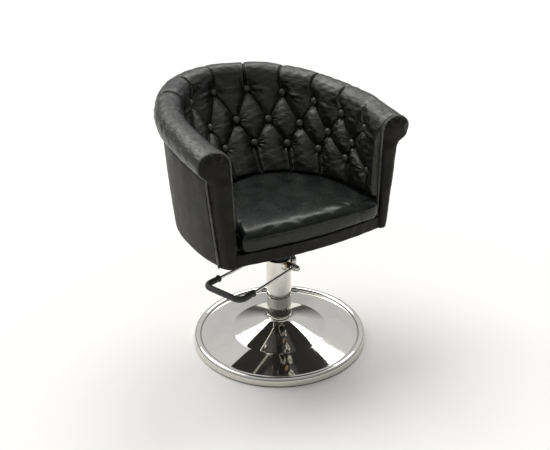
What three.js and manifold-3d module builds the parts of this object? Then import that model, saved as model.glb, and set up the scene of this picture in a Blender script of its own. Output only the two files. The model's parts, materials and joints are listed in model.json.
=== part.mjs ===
// Styling chair: an upholstered tub seat on a hydraulic pump column and a round base.
// Millimetres, +Z up. The origin is on the floor at the centre of the base, on the column's
// axis. The seat faces -Y, so the sitter's left is +X.

import * as THREE from 'three';
import { mergeVertices } from 'three/addons/utils/BufferGeometryUtils.js';
import Module from 'manifold-3d';

const wasm = await Module();
wasm.setup();

// ---- driving dimensions -------------------------------------------------------------------

const GAP = 0.3; // air between two pieces that touch on the real chair
const SOFT_GAP = 1.0; // the same between upholstered pieces
const ROUND = 40; // sides of a turned part
const ROUND_SMALL = 16; // sides of a small turned part

// base
const BASE_RADIUS = 300;
const BASE_PLATE_RADIUS = 284;
const BASE_PLATE_THICKNESS = 8;
const FLOOR_RING_THICKNESS = 3;
const COVER_THICKNESS = 2;
const RIM_SIDE_TOP_Z = 9;
const RIM_TOP_Z = 31;
const RIM_TOP_RADIUS = 287;
const RIM_CREASE_RADIUS = 273;
const RIM_CREASE_Z = 24;
const CONE_FOOT_RADIUS = 165;
const CONE_FOOT_Z = 33;
const CONE_TOP_RADIUS = 50;
const CONE_TOP_Z = 73;
const COLLAR_TOP_Z = 82;

// pump, fixed part
const FLANGE_RADIUS = 72;
const FLANGE_THICKNESS = 12;
const FLANGE_BOLT_CIRCLE = 52;
const FLANGE_BOLT_RADIUS = 5;
const FLANGE_BOLT_HEAD_RADIUS = 8.5;
const FLANGE_BOLT_HEAD_HEIGHT = 7;
const GUIDE_RADIUS = 36;
const GUIDE_WALL = 3.5;
const GUIDE_TOP_Z = 278;
const ROD_RADIUS = 11;
const PISTON_RADIUS = 19.6;
const PISTON_TOP_Z = 235;
const PISTON_HEIGHT = 15;

// pump, moving part
const BARREL_RADIUS = 26;
const BARREL_BORE = 20;
const BARREL_FOOT_Z = 36;
const BARREL_TOP_Z = 250;
const BARREL_END_WALL = 8;
const GLAND_HEIGHT = 14;
const BEARING_HEIGHT = 8;
const BEARING_BORE = 14;
const BEARING_RADIUS = 30;
const SLEEVE_RADIUS = 42;
const SLEEVE_WALL = 2.5;
const SLEEVE_FOOT_Z = 97;
const SLEEVE_TOP_Z = 310;
const SLEEVE_BUSH_HEIGHT = 28;
const LIP_HEIGHT = 4;
const HEAD_SPIGOT_RADIUS = 31.5; // runs inside the guide tube at the lowest height
const HEAD_SHOULDER_Z = 280.5;
const HEAD_NECK_RADIUS = 33;
const HEAD_NECK_TOP_Z = 348;
const STUB_RADIUS = 24;
const STUB_TAPER = 22;

// pedal
const PEDAL_YAW = 200.4; // degrees from +X, counter-clockwise seen from above
const SHAFT_Z = 295;
const SHAFT_RADIUS = 7;
const SHAFT_HALF_LENGTH = 84;
const BUSH_RADIUS = 12;
const BUSH_END = 46;
const HUB_CENTRE = 67;
const HUB_LENGTH = 16;
const HUB_RADIUS = 12.5;
const PEDAL_REACH = 276;
const PEDAL_HALF_WIDTH = 76;
const PEDAL_END_RISE = 3;
const PEDAL_CORNER = 30;
const PEDAL_ROD_RADIUS = 4.8;
const GRIP_RADIUS = 10;
const GRIP_WRAP = 55; // how far the grip runs back along each rod
const COLLAR_LENGTH = 12;
const COLLAR_RADIUS = 11.8;
const CAM_REACH = 26;
const CAM_RADIUS = 11;
const CAM_WIDTH = 12;
const CAM_SLOT_WIDTH = 16;
const CAM_SLOT_FLOOR_Z = 276;
const CAM_SLOT_BACK = -13;
const CAM_SLOT_FRONT = 37;
const PLUNGER_OFFSET = 22;
const PLUNGER_RADIUS = 4.7;
const PLUNGER_LENGTH = 16;
const PLUNGER_PLAY = 2; // between the cam and the plunger with the pedal up
const VALVE_YAW = -20;
const VALVE_RADIUS = 16;
const VALVE_END = 62;

// seat support
const SHELL_FOOT_Z = 439;
const PLATE_WIDTH = 240;
const PLATE_DEPTH = 210;
const PLATE_THICKNESS = 8;
const PLATE_BOLT_X = 95;
const PLATE_BOLT_Y = 80;
const PLATE_BOLT_RADIUS = 4;
const PLATE_BOLT_HEAD_RADIUS = 7;
const PLATE_BOLT_HEAD_HEIGHT = 6;
const PLATE_BOLT_REACH = 12; // into the board
const CLOTH_THICKNESS = 1.2;
const BOARD_THICKNESS = 18;
const DECK_TOP_Z = 478.5;

// tub walls: plan outlines, each a pair of arms and a superellipse behind them
const OUTER_FOOT = { half: 320, front: 303, frontY: -172, shoulderY: -45, backY: 290, power: 3.0 };
const OUTER_TOP = { half: 340.5, front: 330, frontY: -172, shoulderY: -31, backY: 435, power: 2.1 };
const ROLL_LINE = { half: 318.5, front: 308, frontY: -188, shoulderY: -31, backY: 413, power: 2.07 };
const INNER_TOP = { half: 280, front: 268, frontY: -188, shoulderY: -31, backY: 374, power: 2.05 };
const INNER_SEAT = { half: 255, front: 254, frontY: -188, shoulderY: -121, backY: 194, power: 2.04 };
const PANEL_THICKNESS = 12;
const FRAME_THICKNESS = 16;
const SEAT_LEVEL_Z = 548;
const RIM_FRONT_Z = 774;
const RIM_BACK_Z = 836;
const RIM_EASE = 0.85;
const ROLL_RADIUS = 45;
const ROLL_SEAT_GAP = 2; // between the underside of the roll and the top of the walls
const ARM_SHARE = 0.29; // share of the horseshoe that belongs to each arm

// arm fronts and scrolls
const SCROLL_HALF_WIDTH = 51;
const SCROLL_HALF_HEIGHT = 40;
const SCROLL_CENTRE_X = 310;
const SCROLL_CENTRE_Z = 764;
const SCROLL_CAP_DEPTH = 26;
const SCROLL_BLEND = 0.1; // share of the horseshoe over which the roll takes the scroll's shape
const WELT_GROOVE = 3.5; // room left round each cap for its welt
const ARM_FRONT_Y = -208;
const ARM_FRONT_TOP_Z = 722;

// cushion and rail
const RAIL_BOW = 24;
const RAIL_CORNER_Y = -197;
const RAIL_THICKNESS = 18;
const CUSHION_TOP_Z = 551;
const CUSHION_CROWN = 9;
const CUSHION_FRONT_Y = -229;
const CUSHION_BOW = 22;
const CUSHION_HALF_WIDTH = 246;

// ---- materials ----------------------------------------------------------------------------

function finish(color, roughness, metalness) {
  return new THREE.MeshStandardMaterial({ color, roughness, metalness });
}

const CHROME = finish(0xd9dbde, 0.08, 1.0);
const STEEL = finish(0x9a9ca0, 0.4, 1.0);
const IRON = finish(0x2c2d2f, 0.6, 0.6);
const RUBBER = finish(0x23241f, 0.8, 0.0);
const BRASS = finish(0xb08d4a, 0.35, 1.0);
const LEATHER = finish(0x161817, 0.45, 0.0);
const SIDE_LEATHER = finish(0x1d1a17, 0.5, 0.0);
const CUSHION_LEATHER = finish(0x111513, 0.35, 0.0);
const WOOD = finish(0xb58a5a, 0.7, 0.0);
const FOAM_DECK = finish(0x8a8a86, 0.9, 0.0);
const CLOTH = finish(0x101010, 0.95, 0.0);

// ---- shape helpers ------------------------------------------------------------------------

const chair = new THREE.Group();

function node(parent, name, geometry, material) {
  const mesh = new THREE.Mesh(geometry, material);
  mesh.name = name;
  parent.add(mesh);
  return mesh;
}

// A turned piece about +Z. The profile is [radius, z] pairs, counter-clockwise with radius to
// the right and z up, from the axis to the axis or closed on itself.
function turned(profile, sides = ROUND) {
  const points = profile.map(([radius, z]) => new THREE.Vector2(radius, z));
  const startsOnAxis = points[0].x === 0 && points[points.length - 1].x === 0;
  if (!startsOnAxis) points.push(points[0].clone());
  return new THREE.LatheGeometry(points, sides).rotateX(Math.PI / 2);
}

function disc(radius, lowZ, highZ, sides = ROUND) {
  return turned([[0, lowZ], [radius, lowZ], [radius, highZ], [0, highZ]], sides);
}

function ring(inner, outer, lowZ, highZ, sides = ROUND) {
  return turned([[inner, lowZ], [outer, lowZ], [outer, highZ], [inner, highZ]], sides);
}

// The same ring or disc lying along the cross shaft: low and high are along +Y there, and the
// pedal group turns +Y to the near end of the shaft.
function alongShaft(geometry) {
  return geometry.rotateX(-Math.PI / 2);
}

function box(width, depth, height, x, y, lowZ) {
  return new THREE.BoxGeometry(width, depth, height).translate(x, y, lowZ + height / 2);
}

// A closed mesh with shared corners and no slivers, as a solid that can be joined and cut.
function solid(geometry) {
  const bare = new THREE.BufferGeometry();
  bare.setAttribute('position', geometry.getAttribute('position').clone());
  if (geometry.index) bare.setIndex(geometry.index.clone());
  const merged = mergeVertices(bare, 1e-4);
  const corners = [];
  for (let i = 0; i < merged.index.count; i += 3) {
    const triangle = [merged.index.getX(i), merged.index.getX(i + 1), merged.index.getX(i + 2)];
    if (new Set(triangle).size === 3) corners.push(...triangle);
  }
  const vertProperties = new Float32Array(merged.getAttribute('position').array);
  const triVerts = new Uint32Array(corners);
  return new wasm.Manifold(new wasm.Mesh({ numProp: 3, vertProperties, triVerts }));
}

function cut(geometry, ...tools) {
  let body = solid(geometry);
  for (const tool of tools) body = body.subtract(solid(tool));
  const mesh = body.getMesh();
  const result = new THREE.BufferGeometry();
  result.setAttribute('position', new THREE.BufferAttribute(new Float32Array(mesh.vertProperties), 3));
  result.setIndex(new THREE.BufferAttribute(new Uint32Array(mesh.triVerts), 1));
  result.computeVertexNormals();
  return result;
}

// A closed skin over a row of rings. Each ring is a list of Vector3 in the same order; the
// first and the last ring are closed with flat caps, triangulated in the ring's own plane.
function loft(rings) {
  const size = rings[0].length;
  const points = rings.flat();
  const positions = points.flatMap((p) => [p.x, p.y, p.z]);
  const index = [];
  for (let r = 0; r + 1 < rings.length; r += 1) {
    for (let k = 0; k < size; k += 1) {
      const a = r * size + k;
      const b = r * size + ((k + 1) % size);
      index.push(...quad(points, a, b, b + size, a + size));
    }
  }
  const last = (rings.length - 1) * size;
  for (const [i, j, k] of capTriangles(rings[0])) index.push(i, k, j);
  for (const [i, j, k] of capTriangles(rings[rings.length - 1])) index.push(last + i, last + j, last + k);
  const geometry = new THREE.BufferGeometry();
  geometry.setAttribute('position', new THREE.Float32BufferAttribute(positions, 3));
  geometry.setIndex(index);
  if (signedVolume(geometry) < 0) turnInsideOut(geometry);
  geometry.computeVertexNormals();
  return geometry;
}

// Two triangles over a twisted four-sided patch, split along its shorter diagonal, so that the
// facing skins of two neighbours split alike.
function quad(points, a, b, c, d) {
  if (points[a].distanceTo(points[c]) < points[b].distanceTo(points[d])) return [a, b, c, a, c, d];
  return [a, b, d, b, c, d];
}

function capTriangles(points) {
  const normal = new THREE.Vector3();
  points.forEach((p, i) => {
    const q = points[(i + 1) % points.length];
    normal.add(new THREE.Vector3().crossVectors(p, q));
  });
  normal.normalize();
  const across = new THREE.Vector3().subVectors(points[1], points[0]).cross(normal).normalize();
  const along = new THREE.Vector3().crossVectors(normal, across);
  const flat = points.map((p) => new THREE.Vector2(p.dot(across), p.dot(along)));
  return THREE.ShapeUtils.triangulateShape(flat, []);
}

function signedVolume(geometry) {
  const place = geometry.getAttribute('position');
  const [a, b, c] = [new THREE.Vector3(), new THREE.Vector3(), new THREE.Vector3()];
  let volume = 0;
  for (let i = 0; i < geometry.index.count; i += 3) {
    a.fromBufferAttribute(place, geometry.index.getX(i));
    b.fromBufferAttribute(place, geometry.index.getX(i + 1));
    c.fromBufferAttribute(place, geometry.index.getX(i + 2));
    volume += a.dot(b.cross(c)) / 6;
  }
  return volume;
}

function turnInsideOut(geometry) {
  const index = geometry.index.array;
  for (let i = 0; i < index.length; i += 3) {
    [index[i + 1], index[i + 2]] = [index[i + 2], index[i + 1]];
  }
}

// ---- plan outlines of the tub ---------------------------------------------------------------

// One horseshoe in plan, from the front of the +X arm round the back to the front of the -X arm.
class Horseshoe extends THREE.Curve {
  constructor(plan) {
    super();
    this.plan = plan;
    this.arcLengthDivisions = 400;
  }

  getPoint(t) {
    const { half, front, frontY, shoulderY, backY, power } = this.plan;
    const side = t < 0.5 ? 1 : -1;
    const s = t < 0.5 ? 2 * t : 2 - 2 * t; // 0 at the front of an arm, 1 at the back centre
    const armShare = 0.3;
    if (s < armShare) {
      const reach = 1 - s / armShare;
      const y = shoulderY + (frontY - shoulderY) * reach;
      return new THREE.Vector3(side * (half + (front - half) * reach * reach), y, 0);
    }
    const turn = ((s - armShare) / (1 - armShare)) * (Math.PI / 2);
    const c = Math.cos(turn);
    const d = Math.sin(turn);
    const a = 1 / half;
    const b = 1 / (backY - shoulderY);
    const radius = ((a * c) ** power + (b * d) ** power) ** (-1 / power);
    return new THREE.Vector3(side * radius * c, shoulderY + radius * d, 0);
  }
}

const outerFoot = new Horseshoe(OUTER_FOOT);
const outerTop = new Horseshoe(OUTER_TOP);
const rollLine = new Horseshoe(ROLL_LINE);
const innerTop = new Horseshoe(INNER_TOP);
const innerSeat = new Horseshoe(INNER_SEAT);

function rimZ(u) {
  const towardsBack = 1 - Math.abs(2 * u - 1);
  const rise = ((1 - Math.cos(Math.PI * towardsBack)) / 2) ** RIM_EASE;
  return RIM_FRONT_Z + (RIM_BACK_Z - RIM_FRONT_Z) * rise;
}

// The roll turns from the scroll's shape at the arm front into a circle further back.
function scrollShare(u) {
  return Math.max(0, 1 - Math.min(u, 1 - u) / SCROLL_BLEND);
}

function rollPoint(u) {
  const z = rimZ(u) + (SCROLL_CENTRE_Z - RIM_FRONT_Z) * scrollShare(u);
  return rollLine.getPointAt(u).setZ(z);
}

function rollHalfHeight(u) {
  return ROLL_RADIUS + (SCROLL_HALF_HEIGHT - ROLL_RADIUS) * scrollShare(u);
}

function wallTopZ(u) {
  return rollPoint(u).z - rollHalfHeight(u) - ROLL_SEAT_GAP;
}

// A point of the outer wall face at height z.
function outerFace(u, z) {
  const share = (z - SHELL_FOOT_Z) / (wallTopZ(u) - SHELL_FOOT_Z);
  return outerFoot.getPointAt(u).lerp(outerTop.getPointAt(u), share).setZ(z);
}

// A point of the inner, padded face at height z: upright beside the cushion, raked above it.
function innerFace(u, z) {
  const share = (z - SEAT_LEVEL_Z) / (wallTopZ(u) - SEAT_LEVEL_Z);
  return innerSeat.getPointAt(u).lerp(innerTop.getPointAt(u), Math.max(0, share)).setZ(z);
}

// A point of the wall, counted in millimetres from the outer face towards the inner one.
function withinWall(u, z, depth) {
  const outside = outerFace(u, z);
  const inwards = innerFace(u, z).sub(outside).normalize();
  return outside.addScaledVector(inwards, depth);
}

function stations(from, to, count) {
  return Array.from({ length: count + 1 }, (_, i) => from + ((to - from) * i) / count);
}

// The three parts of the horseshoe: +X arm, back, -X arm, with a small gap between them.
const SEAM = 0.0012;
const WALL_PARTS = [
  { side: 'left', from: 0, to: ARM_SHARE - SEAM, steps: 6 },
  { side: 'back', from: ARM_SHARE + SEAM, to: 1 - ARM_SHARE - SEAM, steps: 12 },
  { side: 'right', from: 1 - ARM_SHARE + SEAM, to: 1, steps: 6 },
];

// ---- base -----------------------------------------------------------------------------------

const base = new THREE.Group();
chair.add(base);

function circleOfBolts() {
  return [45, 135, 225, 315].map((degrees) => {
    const angle = THREE.MathUtils.degToRad(degrees);
    return [FLANGE_BOLT_CIRCLE * Math.cos(angle), FLANGE_BOLT_CIRCLE * Math.sin(angle)];
  });
}

const flangeFootZ = BASE_PLATE_THICKNESS + GAP;
const flangeTopZ = flangeFootZ + FLANGE_THICKNESS;
const boltEndZ = 2;

function boltHoles(radius, lowZ, highZ) {
  return circleOfBolts().map(([x, y]) => disc(radius, lowZ, highZ, ROUND_SMALL).translate(x, y, 0));
}

const holeRadius = FLANGE_BOLT_RADIUS + GAP;
const plateDisc = disc(BASE_PLATE_RADIUS, 0, BASE_PLATE_THICKNESS, 64);
node(base, 'base_plate', cut(plateDisc, ...boltHoles(holeRadius, boltEndZ - GAP, 50)), IRON);
node(base, 'floor_ring', ring(BASE_PLATE_RADIUS + 3, BASE_RADIUS - 1, 0, FLOOR_RING_THICKNESS, 64), RUBBER);

function coverOutline() {
  const outside = new THREE.Path();
  outside.moveTo(BASE_RADIUS, FLOOR_RING_THICKNESS + GAP);
  outside.lineTo(BASE_RADIUS, RIM_SIDE_TOP_Z);
  outside.quadraticCurveTo(BASE_RADIUS, RIM_TOP_Z, RIM_TOP_RADIUS, RIM_TOP_Z);
  outside.quadraticCurveTo(RIM_CREASE_RADIUS + 3, RIM_TOP_Z, RIM_CREASE_RADIUS, RIM_CREASE_Z);
  outside.lineTo(CONE_FOOT_RADIUS, CONE_FOOT_Z);
  outside.lineTo(CONE_TOP_RADIUS, CONE_TOP_Z);
  const neckRadius = GUIDE_RADIUS + GAP + COVER_THICKNESS;
  outside.quadraticCurveTo(GUIDE_RADIUS + 6, CONE_TOP_Z + 3, neckRadius, COLLAR_TOP_Z);
  return outside.getPoints(4);
}

// The sheet's inner face: each outline point moved by the thickness square to the outline.
function sheetProfile(outline, thickness) {
  const inside = outline.map((point, i) => {
    const before = outline[Math.max(0, i - 1)];
    const after = outline[Math.min(outline.length - 1, i + 1)];
    const along = after.clone().sub(before).normalize();
    return new THREE.Vector2(point.x - along.y * thickness, point.y + along.x * thickness);
  });
  inside[0].y = outline[0].y;
  inside[inside.length - 1].y = outline[outline.length - 1].y;
  return [...outline, ...inside.reverse()].map((point) => [point.x, point.y]);
}

node(base, 'base_cover', turned(sheetProfile(coverOutline(), COVER_THICKNESS), 48), CHROME);

const flange = disc(FLANGE_RADIUS, flangeFootZ, flangeTopZ);
node(base, 'pump_flange', cut(flange, ...boltHoles(holeRadius, 0, 50)), IRON);

circleOfBolts().forEach(([x, y], i) => {
  const headZ = flangeTopZ + GAP;
  const topZ = headZ + FLANGE_BOLT_HEAD_HEIGHT;
  const profile = [
    [0, boltEndZ], [FLANGE_BOLT_RADIUS, boltEndZ], [FLANGE_BOLT_RADIUS, headZ],
    [FLANGE_BOLT_HEAD_RADIUS, headZ], [FLANGE_BOLT_HEAD_RADIUS, topZ], [0, topZ],
  ];
  node(base, `flange_bolt_${i + 1}`, turned(profile, 12), STEEL).position.set(x, y, 0);
});

const standZ = flangeTopZ + GAP;
node(base, 'guide_tube', ring(GUIDE_RADIUS - GUIDE_WALL, GUIDE_RADIUS, standZ, GUIDE_TOP_Z), CHROME);
node(base, 'piston_rod', disc(ROD_RADIUS, standZ, PISTON_TOP_Z - PISTON_HEIGHT - GAP, 24), STEEL);
node(base, 'piston_head', disc(PISTON_RADIUS, PISTON_TOP_Z - PISTON_HEIGHT, PISTON_TOP_Z, 24), BRASS);

// ---- lift carriage ----------------------------------------------------------------------------

const lift = new THREE.Group();
chair.add(lift);

const barrelProfile = [
  [BARREL_BORE, BARREL_FOOT_Z], [BARREL_RADIUS, BARREL_FOOT_Z], [BARREL_RADIUS, BARREL_TOP_Z],
  [0, BARREL_TOP_Z], [0, BARREL_TOP_Z - BARREL_END_WALL], [BARREL_BORE, BARREL_TOP_Z - BARREL_END_WALL],
];
node(lift, 'cylinder_barrel', turned(barrelProfile, 32), STEEL);
const glandTopZ = BARREL_FOOT_Z + GLAND_HEIGHT;
node(lift, 'gland_nut', ring(ROD_RADIUS + GAP, BARREL_BORE - GAP, BARREL_FOOT_Z, glandTopZ, 24), BRASS);
const bearingFootZ = BARREL_TOP_Z + GAP;
const headFootZ = bearingFootZ + BEARING_HEIGHT + GAP;
const bearing = ring(BEARING_BORE, BEARING_RADIUS, bearingFootZ, bearingFootZ + BEARING_HEIGHT, 32);
node(lift, 'swivel_bearing', bearing, STEEL);

// ---- pump head and sleeve -----------------------------------------------------------------------

const head = new THREE.Group();
chair.add(head);

// Directions seen from above: the pedal points along its yaw, and the cross shaft lies square
// to it, with +Y of this frame turned to the shaft's near end.
const pedalTurn = THREE.MathUtils.degToRad(PEDAL_YAW);

function towardsPedal(geometry) {
  return geometry.rotateZ(pedalTurn);
}

function shaftHole(radius) {
  const tool = alongShaft(disc(radius, -60, 60, ROUND_SMALL)).translate(0, 0, SHAFT_Z);
  return towardsPedal(tool);
}

function valveHole(radius) {
  const tool = disc(radius, 0, 80, 24).rotateY(Math.PI / 2).translate(0, 0, SHAFT_Z);
  return tool.rotateZ(THREE.MathUtils.degToRad(VALVE_YAW));
}

const plateFootZ = SHELL_FOOT_Z - GAP - PLATE_THICKNESS;
const stubTopZ = plateFootZ - GAP;
const headRadius = SLEEVE_RADIUS - SLEEVE_WALL - GAP;
const headTopZ = SLEEVE_TOP_Z - 4;
const headProfile = [
  [0, headFootZ], [HEAD_SPIGOT_RADIUS, headFootZ], [HEAD_SPIGOT_RADIUS, HEAD_SHOULDER_Z],
  [headRadius, HEAD_SHOULDER_Z], [headRadius, headTopZ], [HEAD_NECK_RADIUS, headTopZ],
  [HEAD_NECK_RADIUS, HEAD_NECK_TOP_Z], [STUB_RADIUS, HEAD_NECK_TOP_Z + STUB_TAPER],
  [STUB_RADIUS, stubTopZ], [0, stubTopZ],
];
const slotLength = CAM_SLOT_FRONT - CAM_SLOT_BACK;
const slotMiddle = (CAM_SLOT_FRONT + CAM_SLOT_BACK) / 2;
const slotHeight = headTopZ + 14 - CAM_SLOT_FLOOR_Z;
const camSlot = towardsPedal(box(slotLength, CAM_SLOT_WIDTH, slotHeight, slotMiddle, 0, CAM_SLOT_FLOOR_Z));
const boreTool = disc(PLUNGER_RADIUS + GAP, headFootZ + 2, SHAFT_Z, 12);
const plungerBore = towardsPedal(boreTool.translate(PLUNGER_OFFSET, 0, 0));
const headCuts = [shaftHole(SHAFT_RADIUS + GAP), camSlot, plungerBore];
node(head, 'pump_head', cut(turned(headProfile), ...headCuts), IRON);

const valveProfile = [
  [0, SLEEVE_RADIUS + GAP], [VALVE_RADIUS, SLEEVE_RADIUS + GAP], [VALVE_RADIUS, VALVE_END - 8],
  [VALVE_RADIUS - 2.5, VALVE_END - 3], [VALVE_RADIUS - 8, VALVE_END], [0, VALVE_END],
];
const valveCap = turned(valveProfile, 24).rotateY(Math.PI / 2).translate(0, 0, SHAFT_Z);
node(head, 'valve_cap', valveCap.rotateZ(THREE.MathUtils.degToRad(VALVE_YAW)), CHROME);

const sleeve = ring(SLEEVE_RADIUS - SLEEVE_WALL, SLEEVE_RADIUS, SLEEVE_FOOT_Z, SLEEVE_TOP_Z, 48);
node(head, 'outer_sleeve', cut(sleeve, shaftHole(BUSH_RADIUS + GAP)), CHROME);
const lipTopZ = SLEEVE_FOOT_Z - GAP;
const lipProfile = [
  [GUIDE_RADIUS + 1, lipTopZ - LIP_HEIGHT], [SLEEVE_RADIUS, lipTopZ - LIP_HEIGHT],
  [SLEEVE_RADIUS + 1.2, lipTopZ - LIP_HEIGHT / 2],
  [SLEEVE_RADIUS + 0.6, lipTopZ], [GUIDE_RADIUS + 1, lipTopZ],
];
node(head, 'sleeve_lip', turned(lipProfile), CHROME);
const sleeveBush = ring(GUIDE_RADIUS + GAP, headRadius, SLEEVE_FOOT_Z, SLEEVE_FOOT_Z + SLEEVE_BUSH_HEIGHT);
node(head, 'guide_bush', sleeveBush, BRASS);

// ---- pedal ------------------------------------------------------------------------------------

const pedal = new THREE.Group();
pedal.position.z = SHAFT_Z;
pedal.rotation.z = pedalTurn;
head.add(pedal);

for (const [end, sign] of [['near', 1], ['far', -1]]) {
  const along = (low, high) => (sign > 0 ? [low, high] : [-high, -low]);
  const collar = (inner, outer, low, high) => alongShaft(ring(inner, outer, ...along(low, high), 24));
  const bushFoot = headRadius + GAP;
  node(pedal, `shaft_bush_${end}`, collar(SHAFT_RADIUS + GAP, BUSH_RADIUS, bushFoot, BUSH_END), BRASS);
  const hubLow = HUB_CENTRE - HUB_LENGTH / 2;
  const hub = collar(SHAFT_RADIUS + GAP, HUB_RADIUS, hubLow, hubLow + HUB_LENGTH);
  node(pedal, `pedal_hub_${end}`, hub, CHROME);
  const capLow = HUB_CENTRE + HUB_LENGTH / 2 + GAP;
  const bore = SHAFT_RADIUS + GAP;
  const capProfile = [
    [bore, capLow], [9.5, capLow], [9.5, capLow + 9], [7, capLow + 13], [0, capLow + 14],
    [0, SHAFT_HALF_LENGTH + GAP], [bore, SHAFT_HALF_LENGTH + GAP],
  ];
  const cap = alongShaft(turned(capProfile, 24));
  if (sign < 0) cap.rotateZ(Math.PI);
  node(pedal, `shaft_knob_${end}`, cap, CHROME);
}

const springLow = BUSH_END + GAP;
const springHigh = HUB_CENTRE - HUB_LENGTH / 2 - GAP;
const springRing = alongShaft(ring(SHAFT_RADIUS + 0.8, SHAFT_RADIUS + 4.2, springLow, springHigh, 24));
node(pedal, 'return_spring', springRing, STEEL);
node(pedal, 'cross_shaft', alongShaft(disc(SHAFT_RADIUS, -SHAFT_HALF_LENGTH, SHAFT_HALF_LENGTH, 24)), STEEL);

// The cam stands on the shaft inside the head and presses the plunger down.
function camGeometry() {
  const outline = new THREE.Shape();
  outline.absarc(0, 0, CAM_RADIUS, Math.PI / 2, (3 * Math.PI) / 2, false);
  outline.lineTo(PLUNGER_OFFSET - 8, -SHAFT_RADIUS);
  outline.lineTo(CAM_REACH, -SHAFT_RADIUS);
  outline.lineTo(CAM_REACH, 0);
  outline.lineTo(8, CAM_RADIUS);
  const bore = new THREE.Path();
  bore.absarc(0, 0, SHAFT_RADIUS + GAP, 0, 2 * Math.PI, true);
  outline.holes.push(bore);
  const settings = { depth: CAM_WIDTH, bevelEnabled: false, curveSegments: 8 };
  return new THREE.ExtrudeGeometry(outline, settings).translate(0, 0, -CAM_WIDTH / 2).rotateX(Math.PI / 2);
}
node(pedal, 'pump_cam', camGeometry(), IRON);

const plungerTop = -SHAFT_RADIUS - PLUNGER_PLAY;
const plunger = disc(PLUNGER_RADIUS, plungerTop - PLUNGER_LENGTH, plungerTop, 12);
node(pedal, 'pump_plunger', plunger.translate(PLUNGER_OFFSET, 0, 0), STEEL);

// The U-shaped bar in its own frame: it leaves one hub, turns two corners and ends at the other.
function corner(path, previous, at, next) {
  const before = at.clone().sub(previous).setLength(PEDAL_CORNER);
  const after = next.clone().sub(at).setLength(PEDAL_CORNER);
  const start = at.clone().sub(before);
  const end = at.clone().add(after);
  path.add(new THREE.LineCurve3(previous, start));
  path.add(new THREE.QuadraticBezierCurve3(start, at, end));
  return end;
}

function pedalPath(startReach) {
  const hub = new THREE.Vector3(0, HUB_CENTRE, 0);
  const tip = new THREE.Vector3(PEDAL_REACH, PEDAL_HALF_WIDTH, PEDAL_END_RISE);
  const first = hub.clone().lerp(tip, startReach / PEDAL_REACH);
  const mirror = (p) => new THREE.Vector3(p.x, -p.y, p.z);
  const path = new THREE.CurvePath();
  const halfway = new THREE.Vector3(PEDAL_REACH, 0, PEDAL_END_RISE);
  const afterFirst = corner(path, first, tip, halfway);
  const afterSecond = corner(path, afterFirst, mirror(tip), mirror(first));
  path.add(new THREE.LineCurve3(afterSecond, mirror(first)));
  return path;
}

function circlePoints(radius, sides) {
  return Array.from({ length: sides }, (_, i) => {
    const angle = (2 * Math.PI * i) / sides;
    return [radius * Math.cos(angle), radius * Math.sin(angle)];
  });
}

// A round bar along a path that stays near level: rings square to the path, +Z as the guide.
function bar(path, radius, places, sides = 10) {
  const up = new THREE.Vector3(0, 0, 1);
  return loft(places.map((t) => {
    const centre = path.getPoint(t);
    const across = path.getTangent(t).cross(up).normalize();
    return circlePoints(radius, sides).map(([p, q]) => (
      centre.clone().addScaledVector(across, p).addScaledVector(up, q)
    ));
  }));
}

// Places along the pedal path: few on the straights, more in the two corners.
function pedalPlaces(path) {
  const lengths = path.getCurveLengths();
  const total = lengths[lengths.length - 1];
  const [toFirst, pastFirst, toSecond, pastSecond] = lengths.map((length) => length / total);
  return [0, ...stations(toFirst, pastFirst, 5), ...stations(toSecond, pastSecond, 5), 1];
}

const barPath = pedalPath(HUB_RADIUS + GAP);
node(pedal, 'pedal_bar', bar(barPath, PEDAL_ROD_RADIUS, pedalPlaces(barPath)), CHROME);
const gripPath = pedalPath(PEDAL_REACH - GRIP_WRAP);
const gripPlaces = pedalPlaces(gripPath);
const gripBody = bar(gripPath, GRIP_RADIUS, gripPlaces, 12);
const gripBore = bar(pedalPath(PEDAL_REACH - GRIP_WRAP - 6), PEDAL_ROD_RADIUS + 1, gripPlaces);
node(pedal, 'pedal_grip', cut(gripBody, gripBore), RUBBER);

for (const [end, sign] of [['near', 1], ['far', -1]]) {
  const rodTurn = Math.atan2(PEDAL_HALF_WIDTH - HUB_CENTRE, PEDAL_REACH);
  const collar = ring(PEDAL_ROD_RADIUS + GAP, COLLAR_RADIUS, -COLLAR_LENGTH, -GAP, 16).rotateY(Math.PI / 2);
  const mesh = node(pedal, `grip_collar_${end}`, collar, RUBBER);
  const share = (PEDAL_REACH - GRIP_WRAP) / PEDAL_REACH;
  const y = HUB_CENTRE + (PEDAL_HALF_WIDTH - HUB_CENTRE) * share;
  mesh.position.set(PEDAL_REACH * share, sign * y, PEDAL_END_RISE * share);
  mesh.rotation.z = sign * rodTurn;
}

// ---- seat support ---------------------------------------------------------------------------

const seat = new THREE.Group();
chair.add(seat);

const plateCorners = [[1, 1], [-1, 1], [-1, -1], [1, -1]]
  .map(([x, y]) => [x * PLATE_BOLT_X, y * PLATE_BOLT_Y]);

function plateHoles(radius, lowZ, highZ) {
  return plateCorners.map(([x, y]) => disc(radius, lowZ, highZ, 12).translate(x, y, 0));
}

const plateHole = PLATE_BOLT_RADIUS + GAP;
const plate = box(PLATE_WIDTH, PLATE_DEPTH, PLATE_THICKNESS, 0, 0, plateFootZ);
node(seat, 'mounting_plate', cut(plate, ...plateHoles(plateHole, plateFootZ - 5, plateFootZ + 20)), IRON);

// A level board inside the wall: straight across the front, the horseshoe round the back.
function board(inset, frontY, lowZ, highZ) {
  const outline = stations(0, 1, 36).map((u) => withinWall(u, SHELL_FOOT_Z, inset));
  const cornerX = outline[0].x - 4;
  const front = [cornerX, -cornerX].map((x) => new THREE.Vector3(x, frontY, 0));
  const points = [front[0], ...outline, front[1]];
  return loft([lowZ, highZ].map((z) => points.map((p) => p.clone().setZ(z))));
}

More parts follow.
